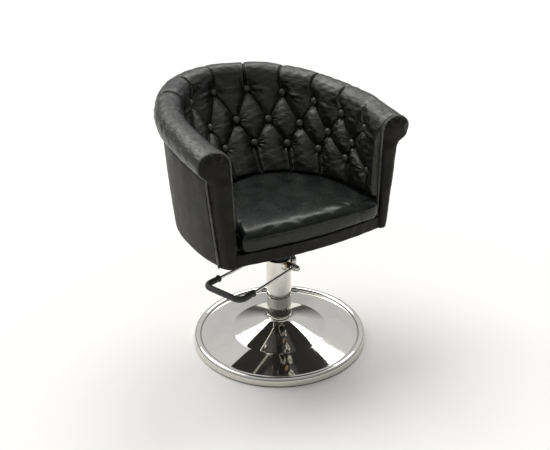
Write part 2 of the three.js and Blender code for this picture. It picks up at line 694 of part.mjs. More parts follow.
const clothFootZ = SHELL_FOOT_Z;
const clothTopZ = clothFootZ + CLOTH_THICKNESS;
const boardFootZ = clothTopZ + GAP;
const boardTopZ = boardFootZ + BOARD_THICKNESS;
const boltTipZ = boardFootZ + PLATE_BOLT_REACH;
const insidePanel = PANEL_THICKNESS + 4;
const cloth = board(insidePanel, RAIL_CORNER_Y + RAIL_THICKNESS, clothFootZ, clothTopZ);
node(seat, 'dust_cover', cut(cloth, ...plateHoles(plateHole, clothFootZ - 5, clothTopZ + 5)), CLOTH);
const plywood = board(insidePanel, RAIL_CORNER_Y + RAIL_THICKNESS, boardFootZ, boardTopZ);
node(seat, 'seat_board', cut(plywood, ...plateHoles(plateHole, boardFootZ - 5, boltTipZ + GAP)), WOOD);

plateCorners.forEach(([x, y], i) => {
  const under = plateFootZ - GAP;
  const profile = [
    [0, under - PLATE_BOLT_HEAD_HEIGHT], [PLATE_BOLT_HEAD_RADIUS, under - PLATE_BOLT_HEAD_HEIGHT],
    [PLATE_BOLT_HEAD_RADIUS, under], [PLATE_BOLT_RADIUS, under], [PLATE_BOLT_RADIUS, boltTipZ],
    [0, boltTipZ],
  ];
  node(seat, `plate_bolt_${i + 1}`, turned(profile, 12), STEEL).position.set(x, y, 0);
});

// ---- tub walls ----------------------------------------------------------------------------------

// Heights between the foot and the top of a wall, with one at seat level.
function wallLevels(u, footZ) {
  const topZ = wallTopZ(u);
  return [footZ, SEAT_LEVEL_Z, (SEAT_LEVEL_Z + topZ) / 2, topZ];
}

// A slice of wall from depth near to depth far, standing between footZ and the wall's top.
function wallSlice(part, footZ, near, far) {
  return loft(stations(part.from, part.to, part.steps).map((u) => {
    const levels = wallLevels(u, footZ);
    const outside = levels.map((z) => withinWall(u, z, near));
    const inside = levels.map((z) => withinWall(u, z, far)).reverse();
    return [...outside, ...inside];
  }));
}

const wallFootZ = boardTopZ + SOFT_GAP;
const frameDepth = PANEL_THICKNESS + SOFT_GAP;
const padDepth = frameDepth + FRAME_THICKNESS + SOFT_GAP;

// The pad fills the wall from the frame to the padded face.
function padSlice(part) {
  return loft(stations(part.from, part.to, part.steps).map((u) => {
    const levels = wallLevels(u, wallFootZ);
    const outside = levels.map((z) => withinWall(u, z, padDepth));
    const inside = levels.map((z) => innerFace(u, z)).reverse();
    return [...outside, ...inside];
  }));
}

function rollSection(u) {
  const wide = ROLL_RADIUS + (SCROLL_HALF_WIDTH - ROLL_RADIUS) * scrollShare(u);
  const step = 0.002;
  const centre = rollPoint(u);
  const along = rollPoint(Math.min(1, u + step)).sub(rollPoint(Math.max(0, u - step)));
  const up = new THREE.Vector3(0, 0, 1);
  const across = new THREE.Vector3().crossVectors(up, along);
  across.y *= 1 - scrollShare(u);
  across.normalize();
  return circlePoints(1, 16).map(([p, q]) => (
    centre.clone().addScaledVector(across, p * wide).addScaledVector(up, q * rollHalfHeight(u))
  ));
}

for (const part of WALL_PARTS) {
  const panelSlice = wallSlice(part, SHELL_FOOT_Z, 0, PANEL_THICKNESS);
  node(seat, `${part.side}_outer_panel`, panelSlice, SIDE_LEATHER);
  const frameSlice = wallSlice(part, wallFootZ, frameDepth, frameDepth + FRAME_THICKNESS);
  node(seat, `${part.side}_frame`, frameSlice, WOOD);
  node(seat, `${part.side}_pad`, padSlice(part), LEATHER);
  const rollRings = stations(part.from, part.to, part.steps + 2).map(rollSection);
  node(seat, `${part.side}_roll`, loft(rollRings), LEATHER);
}

// ---- arm fronts and scrolls ----------------------------------------------------------------------

// The plan of one arm front at height z: flat in front, rounded round its outer corner.
function armFrontSection(z, side) {
  const share = (z - SHELL_FOOT_Z) / (ARM_FRONT_TOP_Z - SHELL_FOOT_Z);
  const outerX = OUTER_FOOT.front + (OUTER_TOP.front - OUTER_FOOT.front) * share;
  const innerX = INNER_SEAT.front + 2 + (INNER_TOP.front - INNER_SEAT.front) * Math.max(0, share - 0.25);
  const sweep = 30;
  const wallGap = 2 * SOFT_GAP;
  const outline = new THREE.Path();
  outline.moveTo(innerX, INNER_SEAT.frontY - wallGap);
  outline.lineTo(innerX, ARM_FRONT_Y);
  outline.lineTo(outerX - sweep, ARM_FRONT_Y);
  outline.quadraticCurveTo(outerX - 2, ARM_FRONT_Y, outerX, OUTER_FOOT.frontY - wallGap);
  return outline.getPoints(5).map((p) => new THREE.Vector3(side * p.x, p.y, z));
}

function scrollRing(scale, y, side) {
  return circlePoints(1, 20).map(([p, q]) => new THREE.Vector3(
    side * (SCROLL_CENTRE_X + p * (SCROLL_HALF_WIDTH - WELT_GROOVE) * scale),
    y,
    SCROLL_CENTRE_Z + q * (SCROLL_HALF_HEIGHT - WELT_GROOVE) * scale,
  ));
}

for (const [name, side] of [['left', 1], ['right', -1]]) {
  const heights = [SHELL_FOOT_Z, (SHELL_FOOT_Z + ARM_FRONT_TOP_Z) / 2, ARM_FRONT_TOP_Z];
  node(seat, `${name}_arm_front`, loft(heights.map((z) => armFrontSection(z, side))), SIDE_LEATHER);
  const capBack = ROLL_LINE.frontY - SOFT_GAP;
  const dome = [[1, 0], [0.97, 0.35], [0.8, 0.75], [0.45, 1]];
  const capRings = dome.map(([scale, depth]) => scrollRing(scale, capBack - depth * SCROLL_CAP_DEPTH, side));
  node(seat, `${name}_scroll_cap`, loft(capRings), LEATHER);
}

// ---- front rail, deck and cushion ------------------------------------------------------------------

// A line across the chair that bows forward in the middle.
function bowed(halfWidth, cornerY, bow, z) {
  return stations(-1, 1, 12).map((s) => new THREE.Vector3(s * halfWidth, cornerY - bow * (1 - s * s), z));
}

const railHalf = INNER_SEAT.front;
const railTopZ = DECK_TOP_Z - SOFT_GAP;
const railRings = [SHELL_FOOT_Z, railTopZ].map((z) => {
  const front = bowed(railHalf, RAIL_CORNER_Y - 4, RAIL_BOW, z);
  const back = bowed(railHalf, RAIL_CORNER_Y + RAIL_THICKNESS - SOFT_GAP, 0, z).reverse();
  return [...front, ...back];
});
node(seat, 'front_rail', loft(railRings), SIDE_LEATHER);

// The deck and the cushion follow the padded face round the back, a little inside it.
function insideOutline(clearance) {
  return stations(0.02, 0.98, 34).map((u) => {
    const point = innerSeat.getPointAt(u);
    const middle = new THREE.Vector3(0, -40, 0);
    return point.addScaledVector(middle.clone().sub(point).normalize(), clearance);
  });
}

const deckOutline = insideOutline(4);
const deckFront = [[-1, RAIL_CORNER_Y + RAIL_THICKNESS], [1, RAIL_CORNER_Y + RAIL_THICKNESS]]
  .map(([side, y]) => new THREE.Vector3(side * (INNER_SEAT.front - 6), y, 0));
const deckRings = [boardTopZ + SOFT_GAP, DECK_TOP_Z].map((z) => (
  [...deckOutline, ...deckFront].map((p) => p.clone().setZ(z))
));
node(seat, 'seat_deck', loft(deckRings), FOAM_DECK);

function cushionRing(z, inset) {
  const back = insideOutline(6 + inset);
  const front = bowed(CUSHION_HALF_WIDTH - inset, CUSHION_FRONT_Y + inset, CUSHION_BOW, 0);
  return [...back, ...front].map((p) => p.clone().setZ(z));
}

const cushionFootZ = DECK_TOP_Z + SOFT_GAP;
const cushionLayers = [
  [cushionFootZ, 6], [cushionFootZ + 14, 0], [CUSHION_TOP_Z - 12, 0], [CUSHION_TOP_Z, 8],
  [CUSHION_TOP_Z + CUSHION_CROWN, 70],
];
node(seat, 'seat_cushion', loft(cushionLayers.map(([z, inset]) => cushionRing(z, inset))), CUSHION_LEATHER);

export default chair;
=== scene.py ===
# %% [markdown]
# # A buttoned salon styling chair
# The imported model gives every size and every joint. This script dresses it: leather over the
# tub, a stuffed seat cushion, a chromed base and pump, and a rubber grip on the pedal.
# Lengths are metres, +Z is up, the origin is on the floor under the column, and the seat
# faces -Y.

import json
import math

import bmesh
import bpy
import numpy as np
from mathutils import Matrix, Quaternion, Vector


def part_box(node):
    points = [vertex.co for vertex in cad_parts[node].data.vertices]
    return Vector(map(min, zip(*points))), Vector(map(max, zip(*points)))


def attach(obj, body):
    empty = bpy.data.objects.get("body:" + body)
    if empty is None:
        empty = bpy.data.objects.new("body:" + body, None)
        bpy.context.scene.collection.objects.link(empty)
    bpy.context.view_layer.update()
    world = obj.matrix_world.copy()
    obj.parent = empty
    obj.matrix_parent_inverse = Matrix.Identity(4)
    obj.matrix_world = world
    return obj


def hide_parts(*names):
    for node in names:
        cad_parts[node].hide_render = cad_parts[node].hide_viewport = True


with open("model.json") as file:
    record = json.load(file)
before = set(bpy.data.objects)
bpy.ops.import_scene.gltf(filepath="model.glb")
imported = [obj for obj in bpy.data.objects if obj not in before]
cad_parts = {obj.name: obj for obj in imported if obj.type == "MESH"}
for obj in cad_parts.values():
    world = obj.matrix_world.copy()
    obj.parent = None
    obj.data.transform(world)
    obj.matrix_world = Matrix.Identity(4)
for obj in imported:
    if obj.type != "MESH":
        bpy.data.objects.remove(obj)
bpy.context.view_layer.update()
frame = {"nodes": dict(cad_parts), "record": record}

# %% [markdown]
# ## Camera
# A viewpoint is easiest to think of as a place on a sphere round the object: a distance, a
# compass direction and a height. Small pan, tilt and roll angles then frame the chair. A
# quaternion built from the three camera axes avoids any mix-up with Euler order.

# %% Camera on a sphere round the chair
CAMERA_DISTANCE = 2.45
CAMERA_AZIMUTH = math.radians(-29.76)
CAMERA_ELEVATION = math.radians(24.23)
CAMERA_PAN, CAMERA_TILT, CAMERA_ROLL = (math.radians(angle) for angle in (0.24, -1.47, 0.68))
CAMERA_AIM = Vector((0, 0, 0.5))
UP = Vector((0, 0, 1))


def camera_axes():
    level = math.cos(CAMERA_ELEVATION)
    back = Vector((
        math.sin(CAMERA_AZIMUTH) * level,
        -math.cos(CAMERA_AZIMUTH) * level,
        math.sin(CAMERA_ELEVATION),
    ))
    forward = -back
    right = forward.cross(UP).normalized()
    up = right.cross(forward)
    pan = Quaternion(up, CAMERA_PAN)
    forward, right = pan @ forward, pan @ right
    tilt = Quaternion(right, CAMERA_TILT)
    forward, up = tilt @ forward, tilt @ up
    roll = Quaternion(forward, CAMERA_ROLL)
    return back, forward, roll @ right, roll @ up


back, forward, right, up = camera_axes()
camera = bpy.data.objects.new("camera", bpy.data.cameras.new("camera"))
bpy.context.scene.collection.objects.link(camera)
camera.data.sensor_width = 36
camera.data.lens = 49.29
camera.matrix_world = Matrix.Translation(CAMERA_AIM + back * CAMERA_DISTANCE) @ Matrix(
    (right, up, -forward)
).transposed().to_4x4()
bpy.context.scene.camera = camera
print("camera looks along", [round(c, 4) for c in forward])

# %% [markdown]
# ## Mesh helpers
# Nearly every piece here is a skin over a grid of points: rows along the piece, columns round
# it. Working the points out with numpy keeps thousands of them quick, and one helper turns
# any such grid into a Blender mesh, closed round or along as the piece needs.

# %% Grids of points into meshes


def finish_mesh(name, mesh, merge=0.0):
    made = bmesh.new()
    made.from_mesh(mesh)
    if merge:
        bmesh.ops.remove_doubles(made, verts=made.verts, dist=merge)
    bmesh.ops.recalc_face_normals(made, faces=made.faces)
    made.to_mesh(mesh)
    made.free()
    mesh.shade_smooth()
    piece = bpy.data.objects.new(name, mesh)
    bpy.context.scene.collection.objects.link(piece)
    return piece


def skin(name, points, around=True, along=False, caps=True, merge=0.0):
    """points[row, column] is a place; around joins the last column to the first."""
    rows, columns = points.shape[:2]
    index = np.arange(rows * columns).reshape(rows, columns)
    wide = np.hstack([index, index[:, :1]]) if around else index
    tall = np.vstack([wide, wide[:1]]) if along else wide
    corners = [tall[:-1, :-1], tall[1:, :-1], tall[1:, 1:], tall[:-1, 1:]]
    faces = np.stack(corners, -1).reshape(-1, 4).tolist()
    if caps and around and not along:
        faces.append(index[0].tolist())
        faces.append(index[-1][::-1].tolist())
    mesh = bpy.data.meshes.new(name)
    mesh.from_pydata(points.reshape(-1, 3).tolist(), [], faces)
    return finish_mesh(name, mesh, merge)


def turned(name, profile, sides=128, merge=1e-5):
    """A piece turned on a lathe about Z from a closed [radius, height] profile."""
    profile = np.array(profile, float)
    turn = np.linspace(0, 2 * math.pi, sides, endpoint=False)[:, None]
    x = np.cos(turn) * profile[:, 0]
    y = np.sin(turn) * profile[:, 0]
    z = np.broadcast_to(profile[:, 1], x.shape)
    return skin(name, np.stack([x, y, z], -1), around=True, along=True, merge=merge)


def rounded(profile, radius, steps=4):
    """Rounds each corner of a closed profile with a small arc-like curve."""
    profile = [Vector(point) for point in profile]
    made = []
    for i, corner in enumerate(profile):
        before, after = profile[i - 1], profile[(i + 1) % len(profile)]
        if corner.x <= 0:
            made.append(tuple(corner))
            continue
        reach_back = min(radius, (before - corner).length * 0.45)
        reach_on = min(radius, (after - corner).length * 0.45)
        start = corner + (before - corner).normalized() * reach_back
        end = corner + (after - corner).normalized() * reach_on
        for step in range(steps + 1):
            t = step / steps
            made.append(tuple(start * (1 - t) ** 2 + corner * 2 * t * (1 - t) + end * t * t))
    return made


def tube(name, path, radius, sides=16, guide=(0, 0, 1), closed=False):
    """A round bar along a list of points. radius is a number or one for each point."""
    path = np.array(path, float)
    along = np.gradient(path, axis=0)
    if closed:
        along = np.roll(path, -1, 0) - np.roll(path, 1, 0)
    along /= np.linalg.norm(along, axis=1)[:, None]
    across = np.cross(along, np.array(guide, float))
    across /= np.linalg.norm(across, axis=1)[:, None]
    over = np.cross(across, along)
    turn = np.linspace(0, 2 * math.pi, sides, endpoint=False)
    radius = np.broadcast_to(radius, len(path))[:, None, None]
    ring = across[:, None] * np.cos(turn)[None, :, None] + over[:, None] * np.sin(turn)[None, :, None]
    return skin(name, path[:, None] + ring * radius, around=True, along=closed)


def walked_along(path):
    """Distance from the first point of a path to each of its points."""
    return np.concatenate([[0], np.cumsum(np.linalg.norm(np.diff(path, axis=0), axis=1))])


def smoothstep(low, high, value):
    t = np.clip((value - low) / (high - low), 0, 1)
    return t * t * (3 - 2 * t)


def ripples(points, size, seed, stretch=(1, 1, 1), waves=14):
    """Soft unevenness from a seeded sum of waves, about -1 to 1, with bumps of that size."""
    rng = np.random.default_rng(seed)
    total = np.zeros(points.shape[:-1])
    for _ in range(waves):
        way = rng.normal(size=3)
        way = way / np.linalg.norm(way) / np.array(stretch)
        phase = points @ way * (2 * math.pi / size) * rng.uniform(0.6, 1.5)
        total += np.sin(phase + rng.uniform(0, 6.28))
    return total / math.sqrt(waves)


def normals_of(points, wrap):
    """Unit normals of a grid, from its rows and columns. wrap: the columns close on themselves."""
    down = np.gradient(points, axis=0)
    if wrap:
        over = np.roll(points, -1, 1) - np.roll(points, 1, 1)
    else:
        over = np.gradient(points, axis=1)
    normal = np.cross(down, over)
    return normal / np.maximum(np.linalg.norm(normal, axis=-1, keepdims=True), 1e-9)


def show(piece, body, material, slot, *replaced):
    """Gives a piece its finish, its body and the CAD nodes that it stands for."""
    piece.data.materials.clear()
    piece.data.materials.append(material)
    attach(piece, body)
    if replaced:
        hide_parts(*replaced)
    corners = len(piece.data.vertices)
    print(f"{piece.name}: {corners} points, rides on {body}")
    return piece


print("mesh helpers ready")

# %% [markdown]
# ## Shared shader effects
# Leather grain, rubbed edges and smudges turn up in several finishes, so each is a node
# group: built once, with named inputs, and placed with its own values in each material. The
# groups hold no shader. They only work out heights and masks, which keeps every finish in
# its own material and easy to read.

# %% Node group helpers


def new_group(name, inputs, outputs):
    group = bpy.data.node_groups.new(name, "ShaderNodeTree")
    for label, value in inputs:
        socket = group.interface.new_socket(label, in_out="INPUT", socket_type="NodeSocketFloat")
        socket.default_value = value
    for label in outputs:
        group.interface.new_socket(label, in_out="OUTPUT", socket_type="NodeSocketFloat")
    return group, group.nodes.new("NodeGroupInput"), group.nodes.new("NodeGroupOutput")


def math_node(tree, operation, first, second=None, clamp=False):
    node = tree.nodes.new("ShaderNodeMath")
    node.operation = operation
    node.use_clamp = clamp
    for socket, value in zip(node.inputs, (first, second)):
        if value is None:
            continue
        if isinstance(value, (int, float)):
            socket.default_value = value
        else:
            tree.links.new(value, socket)
    return node.outputs[0]


def ramp_node(tree, value, low, high):
    """0 below low, 1 above high."""
    node = tree.nodes.new("ShaderNodeMapRange")
    node.interpolation_type = "SMOOTHSTEP"
    node.inputs["From Min"].default_value = low
    node.inputs["From Max"].default_value = high
    tree.links.new(value, node.inputs["Value"])
    return node.outputs["Result"]


def noise_node(tree, vector, scale, detail=3.0, distortion=0.0):
    node = tree.nodes.new("ShaderNodeTexNoise")
    node.inputs["Detail"].default_value = detail
    node.inputs["Distortion"].default_value = distortion
    if isinstance(scale, (int, float)):
        node.inputs["Scale"].default_value = scale
    else:
        tree.links.new(scale, node.inputs["Scale"])
    tree.links.new(vector, node.inputs["Vector"])
    return node.outputs["Fac"]


def object_place(tree):
    return tree.nodes.new("ShaderNodeTexCoord").outputs["Object"]


print("group helpers ready")

# %% [markdown]
# ### Leather grain
# Real grain is a net of small pebbles cut by finer creases that run mostly one way. A smooth
# Voronoi gives the pebbles, a Voronoi edge distance gives the creases, and a noise stretched
# sideways gives the drawn wrinkles. The group puts out one height for a Bump node and a
# mask of the creases, for colour and gloss.

# %% Group: leather grain


def build_leather_grain():
    labels = [("Pebble Scale", 420.0), ("Crease Scale", 120.0), ("Crease Depth", 0.5), ("Wrinkle", 0.4)]
    group, given, put_out = new_group("Leather Grain", labels, ["Height", "Creases", "Mottle"])
    place = object_place(group)
    warp = noise_node(group, place, 60.0, 2.0)
    shifted = group.nodes.new("ShaderNodeVectorMath")
    shifted.operation = "MULTIPLY_ADD"
    group.links.new(place, shifted.inputs[0])
    shifted.inputs[1].default_value = (1, 1, 1)
    offset = group.nodes.new("ShaderNodeCombineXYZ")
    for axis in "XYZ":
        group.links.new(math_node(group, "MULTIPLY", warp, 0.006), offset.inputs[axis])
    group.links.new(offset.outputs[0], shifted.inputs[2])
    pebbles = group.nodes.new("ShaderNodeTexVoronoi")
    pebbles.feature = "SMOOTH_F1"
    group.links.new(shifted.outputs[0], pebbles.inputs["Vector"])
    group.links.new(given.outputs["Pebble Scale"], pebbles.inputs["Scale"])
    net = group.nodes.new("ShaderNodeTexVoronoi")
    net.feature = "DISTANCE_TO_EDGE"
    group.links.new(shifted.outputs[0], net.inputs["Vector"])
    group.links.new(given.outputs["Crease Scale"], net.inputs["Scale"])
    creases = math_node(group, "SUBTRACT", 1.0, ramp_node(group, net.outputs["Distance"], 0.0, 0.09))
    patchy = ramp_node(group, noise_node(group, place, 22.0, 3.0), 0.38, 0.62)
    creases = math_node(group, "MULTIPLY", creases, patchy)
    stretched = group.nodes.new("ShaderNodeMapping")
    stretched.inputs["Scale"].default_value = (22, 22, 165)
    group.links.new(place, stretched.inputs["Vector"])
    wrinkles = noise_node(group, stretched.outputs[0], 1.0, 4.0, 0.6)
    pebble_height = math_node(group, "MULTIPLY", pebbles.outputs["Distance"], -0.5)
    crease_height = math_node(group, "MULTIPLY", creases, given.outputs["Crease Depth"])
    wrinkle_height = math_node(group, "MULTIPLY", wrinkles, given.outputs["Wrinkle"])
    raised = math_node(group, "ADD", pebble_height, wrinkle_height)
    height = math_node(group, "SUBTRACT", raised, crease_height)
    group.links.new(height, put_out.inputs["Height"])
    group.links.new(creases, put_out.inputs["Creases"])
    group.links.new(noise_node(group, place, 9.0, 4.0, 0.4), put_out.inputs["Mottle"])
    return group


leather_grain = build_leather_grain()
print("leather grain:", len(leather_grain.nodes), "nodes")

# %% [markdown]
# ### Rubbed edges
# Leather and paint rub pale first where they stand proud. Pointiness measures that on the
# mesh itself: it is high on ridges. Broken up with noise it stops looking like an outline.

# %% Group: rubbed edges


def build_rubbed_edges():
    group, given, put_out = new_group("Rubbed Edges", [("Amount", 1.0), ("Start", 0.53)], ["Mask"])
    ridge = group.nodes.new("ShaderNodeNewGeometry").outputs["Pointiness"]
    above = math_node(group, "SUBTRACT", ridge, given.outputs["Start"])
    steep = math_node(group, "MULTIPLY", above, 12.0, clamp=True)
    broken = ramp_node(group, noise_node(group, object_place(group), 85.0, 5.0, 0.5), 0.4, 0.68)
    worn = math_node(group, "MULTIPLY", steep, broken)
    mask = math_node(group, "MULTIPLY", worn, given.outputs["Amount"], clamp=True)
    group.links.new(mask, put_out.inputs["Mask"])
    return group


rubbed_edges = build_rubbed_edges()
print("rubbed edges:", len(rubbed_edges.nodes), "nodes")

# %% [markdown]
# ### Smudges and settled dust
# Polished metal is never evenly clean. A cloudy noise times a finer one gives wiped smudges,
# and the same noise times how far a face looks up gives a breath of dust.

# %% Group: smudges and dust


def build_smudges():
    scales = [("Cloud Scale", 7.0), ("Fine Scale", 60.0)]
    group, given, put_out = new_group("Smudges And Dust", scales, ["Smudge", "Dust"])
    place = object_place(group)
    cloud = ramp_node(group, noise_node(group, place, given.outputs["Cloud Scale"], 4.0, 1.2), 0.42, 0.7)
    fine = noise_node(group, place, given.outputs["Fine Scale"], 5.0, 0.3)
    group.links.new(math_node(group, "MULTIPLY", cloud, fine), put_out.inputs["Smudge"])
    facing = group.nodes.new("ShaderNodeSeparateXYZ")
    group.links.new(group.nodes.new("ShaderNodeNewGeometry").outputs["Normal"], facing.inputs[0])
    upward = ramp_node(group, facing.outputs["Z"], 0.55, 1.0)
    speck = ramp_node(group, noise_node(group, place, 420.0, 2.0), 0.55, 0.75)
    group.links.new(math_node(group, "MULTIPLY", upward, speck), put_out.inputs["Dust"])
    return group


smudges = build_smudges()
print("smudges and dust:", len(smudges.nodes), "nodes")

# %% [markdown]
# ## Finishes
# Each finish is one material made by a short function. Values that are the same all over,
# such as the coat's roughness, sit on the Principled BSDF itself. Only what changes over
# the surface comes through nodes.

# %% Material helpers


def new_material(name):
    material = bpy.data.materials.new(name)
    material.use_nodes = True
    return material, material.node_tree, material.node_tree.nodes["Principled BSDF"]


def place_group(tree, group, **values):
    node = tree.nodes.new("ShaderNodeGroup")
    node.node_tree = group
    for label, value in values.items():
        node.inputs[label.replace("_", " ")].default_value = value
    return node


def mix_colours(tree, amount, first, second):
    node = tree.nodes.new("ShaderNodeMix")
    node.data_type = "RGBA"
    tree.links.new(amount, node.inputs["Factor"])
    for socket, colour in ((node.inputs["A"], first), (node.inputs["B"], second)):
        if isinstance(colour, tuple):
            socket.default_value = (*colour, 1)
        else:
            tree.links.new(colour, socket)
    return node.outputs["Result"]


def mix_values(tree, amount, low, high):
    """low where amount is 0, high where it is 1."""
    spread = math_node(tree, "MULTIPLY", amount, high - low)
    return math_node(tree, "ADD", spread, low)


def bump(tree, height, strength, distance):
    node = tree.nodes.new("ShaderNodeBump")
    node.inputs["Strength"].default_value = strength
    node.inputs["Distance"].default_value = distance
    tree.links.new(height, node.inputs["Height"])
    return node.outputs["Normal"]


print("material helpers ready")

# %% [markdown]
# ### Leathers
# All the leather is black, but not alike: the tub's is grained and a little grey where it is
# stretched, the outside is duller and warmer, and the seat is smoother and glossier. One
# function with a few values makes them all.

# %% Leather finishes


def make_leather(name, dark, pale, worn, gloss, shine, pebble, crease, wrinkle, strength, rub):
    material, tree, shader = new_material(name)
    grain = place_group(tree, leather_grain, Pebble_Scale=pebble, Crease_Depth=crease, Wrinkle=wrinkle)
    edges = place_group(tree, rubbed_edges, Amount=rub)
    colour = mix_colours(tree, ramp_node(tree, grain.outputs["Mottle"], 0.3, 0.7), dark, pale)
    colour = mix_colours(tree, edges.outputs["Mask"], colour, worn)
    tree.links.new(colour, shader.inputs["Base Color"])
    rough = mix_values(tree, grain.outputs["Mottle"], gloss - 0.07, gloss + 0.09)
    rough = math_node(tree, "ADD", rough, math_node(tree, "MULTIPLY", grain.outputs["Creases"], 0.15))
    tree.links.new(rough, shader.inputs["Roughness"])
    tree.links.new(bump(tree, grain.outputs["Height"], strength, 0.0011), shader.inputs["Normal"])
    shader.inputs["Specular IOR Level"].default_value = shine
    shader.inputs["Specular Tint"].default_value = (0.98, 1.0, 0.91, 1)
    return material


tub_leather = make_leather(
    "tub leather", (0.0024, 0.0029, 0.0024), (0.0062, 0.0070, 0.0060), (0.10, 0.10, 0.09),
    gloss=0.33, shine=0.62, pebble=430.0, crease=0.5, wrinkle=1.5, strength=0.8, rub=0.45,
)
side_leather = make_leather(
    "side leather", (0.0038, 0.0032, 0.0024), (0.0078, 0.0066, 0.0050), (0.07, 0.065, 0.055),
    gloss=0.46, shine=0.19, pebble=430.0, crease=0.7, wrinkle=0.9, strength=0.7, rub=0.35,
)
cushion_leather = make_leather(
    "cushion leather", (0.0022, 0.0036, 0.0029), (0.0040, 0.0060, 0.0050), (0.05, 0.055, 0.05),
    gloss=0.25, shine=0.34, pebble=520.0, crease=0.35, wrinkle=0.35, strength=0.35, rub=0.2,
)
# The welts' lighter grey base colour is a painted highlight along the round welts; the paler rubbed ridges
# on top of it are wear.
welt_leather_highlight_and_wear = make_leather(
    "welt leather with painted highlight and wear", (0.018, 0.018, 0.016), (0.075, 0.075, 0.068), (0.34, 0.34, 0.31),
    gloss=0.40, shine=0.55, pebble=500.0, crease=0.6, wrinkle=0.5, strength=0.5, rub=1.0,
)
button_leather = make_leather(
    "button leather", (0.024, 0.025, 0.023), (0.050, 0.052, 0.048), (0.16, 0.16, 0.15),
    gloss=0.34, shine=0.55, pebble=650.0, crease=0.4, wrinkle=0.2, strength=0.4, rub=0.4,
)
print("leathers:", [m.name for m in bpy.data.materials if "leather" in m.name])

# %% [markdown]
# ### Metals, rubber, wood and cloth
# Chrome is a perfect mirror with a faint cast, so what matters is its surroundings and a few
# smudges. The satin metals are the same shader with more roughness and a fine turned or
# cast texture.

# %% Metal finishes


def make_chrome():
    material, tree, shader = new_material("chrome plate")
    clean, smudged = (0.71, 0.69, 0.64), (0.62, 0.60, 0.56)
    marks = place_group(tree, smudges)
    plating = mix_colours(tree, marks.outputs["Smudge"], clean, smudged)
    tree.links.new(plating, shader.inputs["Base Color"])
    rough = mix_values(tree, marks.outputs["Smudge"], 0.035, 0.16)
    rough = math_node(tree, "ADD", rough, math_node(tree, "MULTIPLY", marks.outputs["Dust"], 0.05))
    tree.links.new(rough, shader.inputs["Roughness"])
    shader.inputs["Metallic"].default_value = 1.0
    return material


def make_metal(name, dark, pale, low, high, grain_scale, strength, metallic=1.0):
    material, tree, shader = new_material(name)
    marks = place_group(tree, smudges, Cloud_Scale=18.0, Fine_Scale=grain_scale)
    edges = place_group(tree, rubbed_edges, Amount=0.8)
    colour = mix_colours(tree, marks.outputs["Smudge"], pale, dark)
    bright = tuple(min(1.0, 1.5 * part + 0.05) for part in pale)
    tree.links.new(mix_colours(tree, edges.outputs["Mask"], colour, bright), shader.inputs["Base Color"])
    tree.links.new(mix_values(tree, marks.outputs["Smudge"], low, high), shader.inputs["Roughness"])
    grit = noise_node(tree, object_place(tree), grain_scale * 8, 3.0)
    tree.links.new(bump(tree, grit, strength, 0.0004), shader.inputs["Normal"])
    shader.inputs["Metallic"].default_value = metallic
    return material


chrome = make_chrome()
satin_steel = make_metal("satin steel", (0.34, 0.35, 0.36), (0.55, 0.56, 0.58), 0.28, 0.5, 90.0, 0.15)
black_iron = make_metal(
    "black enamelled iron", (0.010, 0.010, 0.011), (0.022, 0.022, 0.024), 0.4, 0.62, 70.0, 0.5,
    metallic=0.0,
)
bronze = make_metal("bearing bronze", (0.36, 0.25, 0.11), (0.60, 0.44, 0.22), 0.25, 0.45, 90.0, 0.15)
print("metals:", [m.name for m in (chrome, satin_steel, black_iron, bronze)])

# %% Rubber, wood, foam and cloth


def make_matt(name, dark, pale, roughness, scale, strength, stretch=(1, 1, 1)):
    material, tree, shader = new_material(name)
    stretched = tree.nodes.new("ShaderNodeMapping")
    stretched.inputs["Scale"].default_value = stretch
    tree.links.new(object_place(tree), stretched.inputs["Vector"])
    figure = noise_node(tree, stretched.outputs[0], scale, 5.0, 0.4)
    marks = place_group(tree, smudges, Cloud_Scale=20.0)
    colour = mix_colours(tree, ramp_node(tree, figure, 0.3, 0.7), dark, pale)
    dusty = tuple(0.75 * part + 0.06 for part in pale)
    tree.links.new(mix_colours(tree, marks.outputs["Dust"], colour, dusty), shader.inputs["Base Color"])
    tree.links.new(mix_values(tree, figure, roughness - 0.08, roughness + 0.1), shader.inputs["Roughness"])
    tree.links.new(bump(tree, figure, strength, 0.0005), shader.inputs["Normal"])
    return material


rubber = make_matt("black rubber", (0.020, 0.021, 0.018), (0.036, 0.037, 0.032), 0.55, 600.0, 0.25)
plywood = make_matt("birch plywood", (0.34, 0.23, 0.12), (0.56, 0.42, 0.26), 0.6, 30.0, 0.2, (1, 6, 12))
deck_foam = make_matt("foam deck", (0.22, 0.22, 0.19), (0.42, 0.41, 0.37), 0.85, 900.0, 0.6)
dust_cloth = make_matt("black lining cloth", (0.008, 0.008, 0.008), (0.022, 0.022, 0.022), 0.85, 1400.0, 0.6)

SLOT_FINISHES = {
    "chrome": chrome, "steel": satin_steel, "iron": black_iron, "brass": bronze, "rubber": rubber,
    "plywood": plywood, "deck_foam": deck_foam, "dust_cloth": dust_cloth, "tub_leather": tub_leather,
    "side_leather": side_leather, "cushion_leather": cushion_leather,
}
for part in frame["record"]["subparts"]:
    node = frame["nodes"][part["node"]]
    node.data.materials.clear()
    node.data.materials.append(SLOT_FINISHES[part["material_slot"]])
print("finished", len(frame["nodes"]), "CAD nodes")

# %% [markdown]
# ## Floor and light
# The chair stands on a plain pale floor that runs past the view, under soft overhead and
# side light. Chrome and black leather show whatever is round them, so the room matters as
# much as the lamps: it is dim at eye level and bright overhead, which keeps upright black
# leather black and lets every edge that turns upwards catch a highlight.

# %% Studio
FLOOR_HALF = 90.0
floor_edges = (-FLOOR_HALF, FLOOR_HALF)
floor_points = np.array([[[x, y, 0.0] for y in floor_edges] for x in floor_edges])
floor = skin("studio_floor", floor_points, around=False, caps=False)
floor_material, _, floor_shader = new_material("pale floor")
floor_shader.inputs["Base Color"].default_value = (0.80, 0.785, 0.75, 1)
floor_shader.inputs["Roughness"].default_value = 0.8
floor.data.materials.append(floor_material)



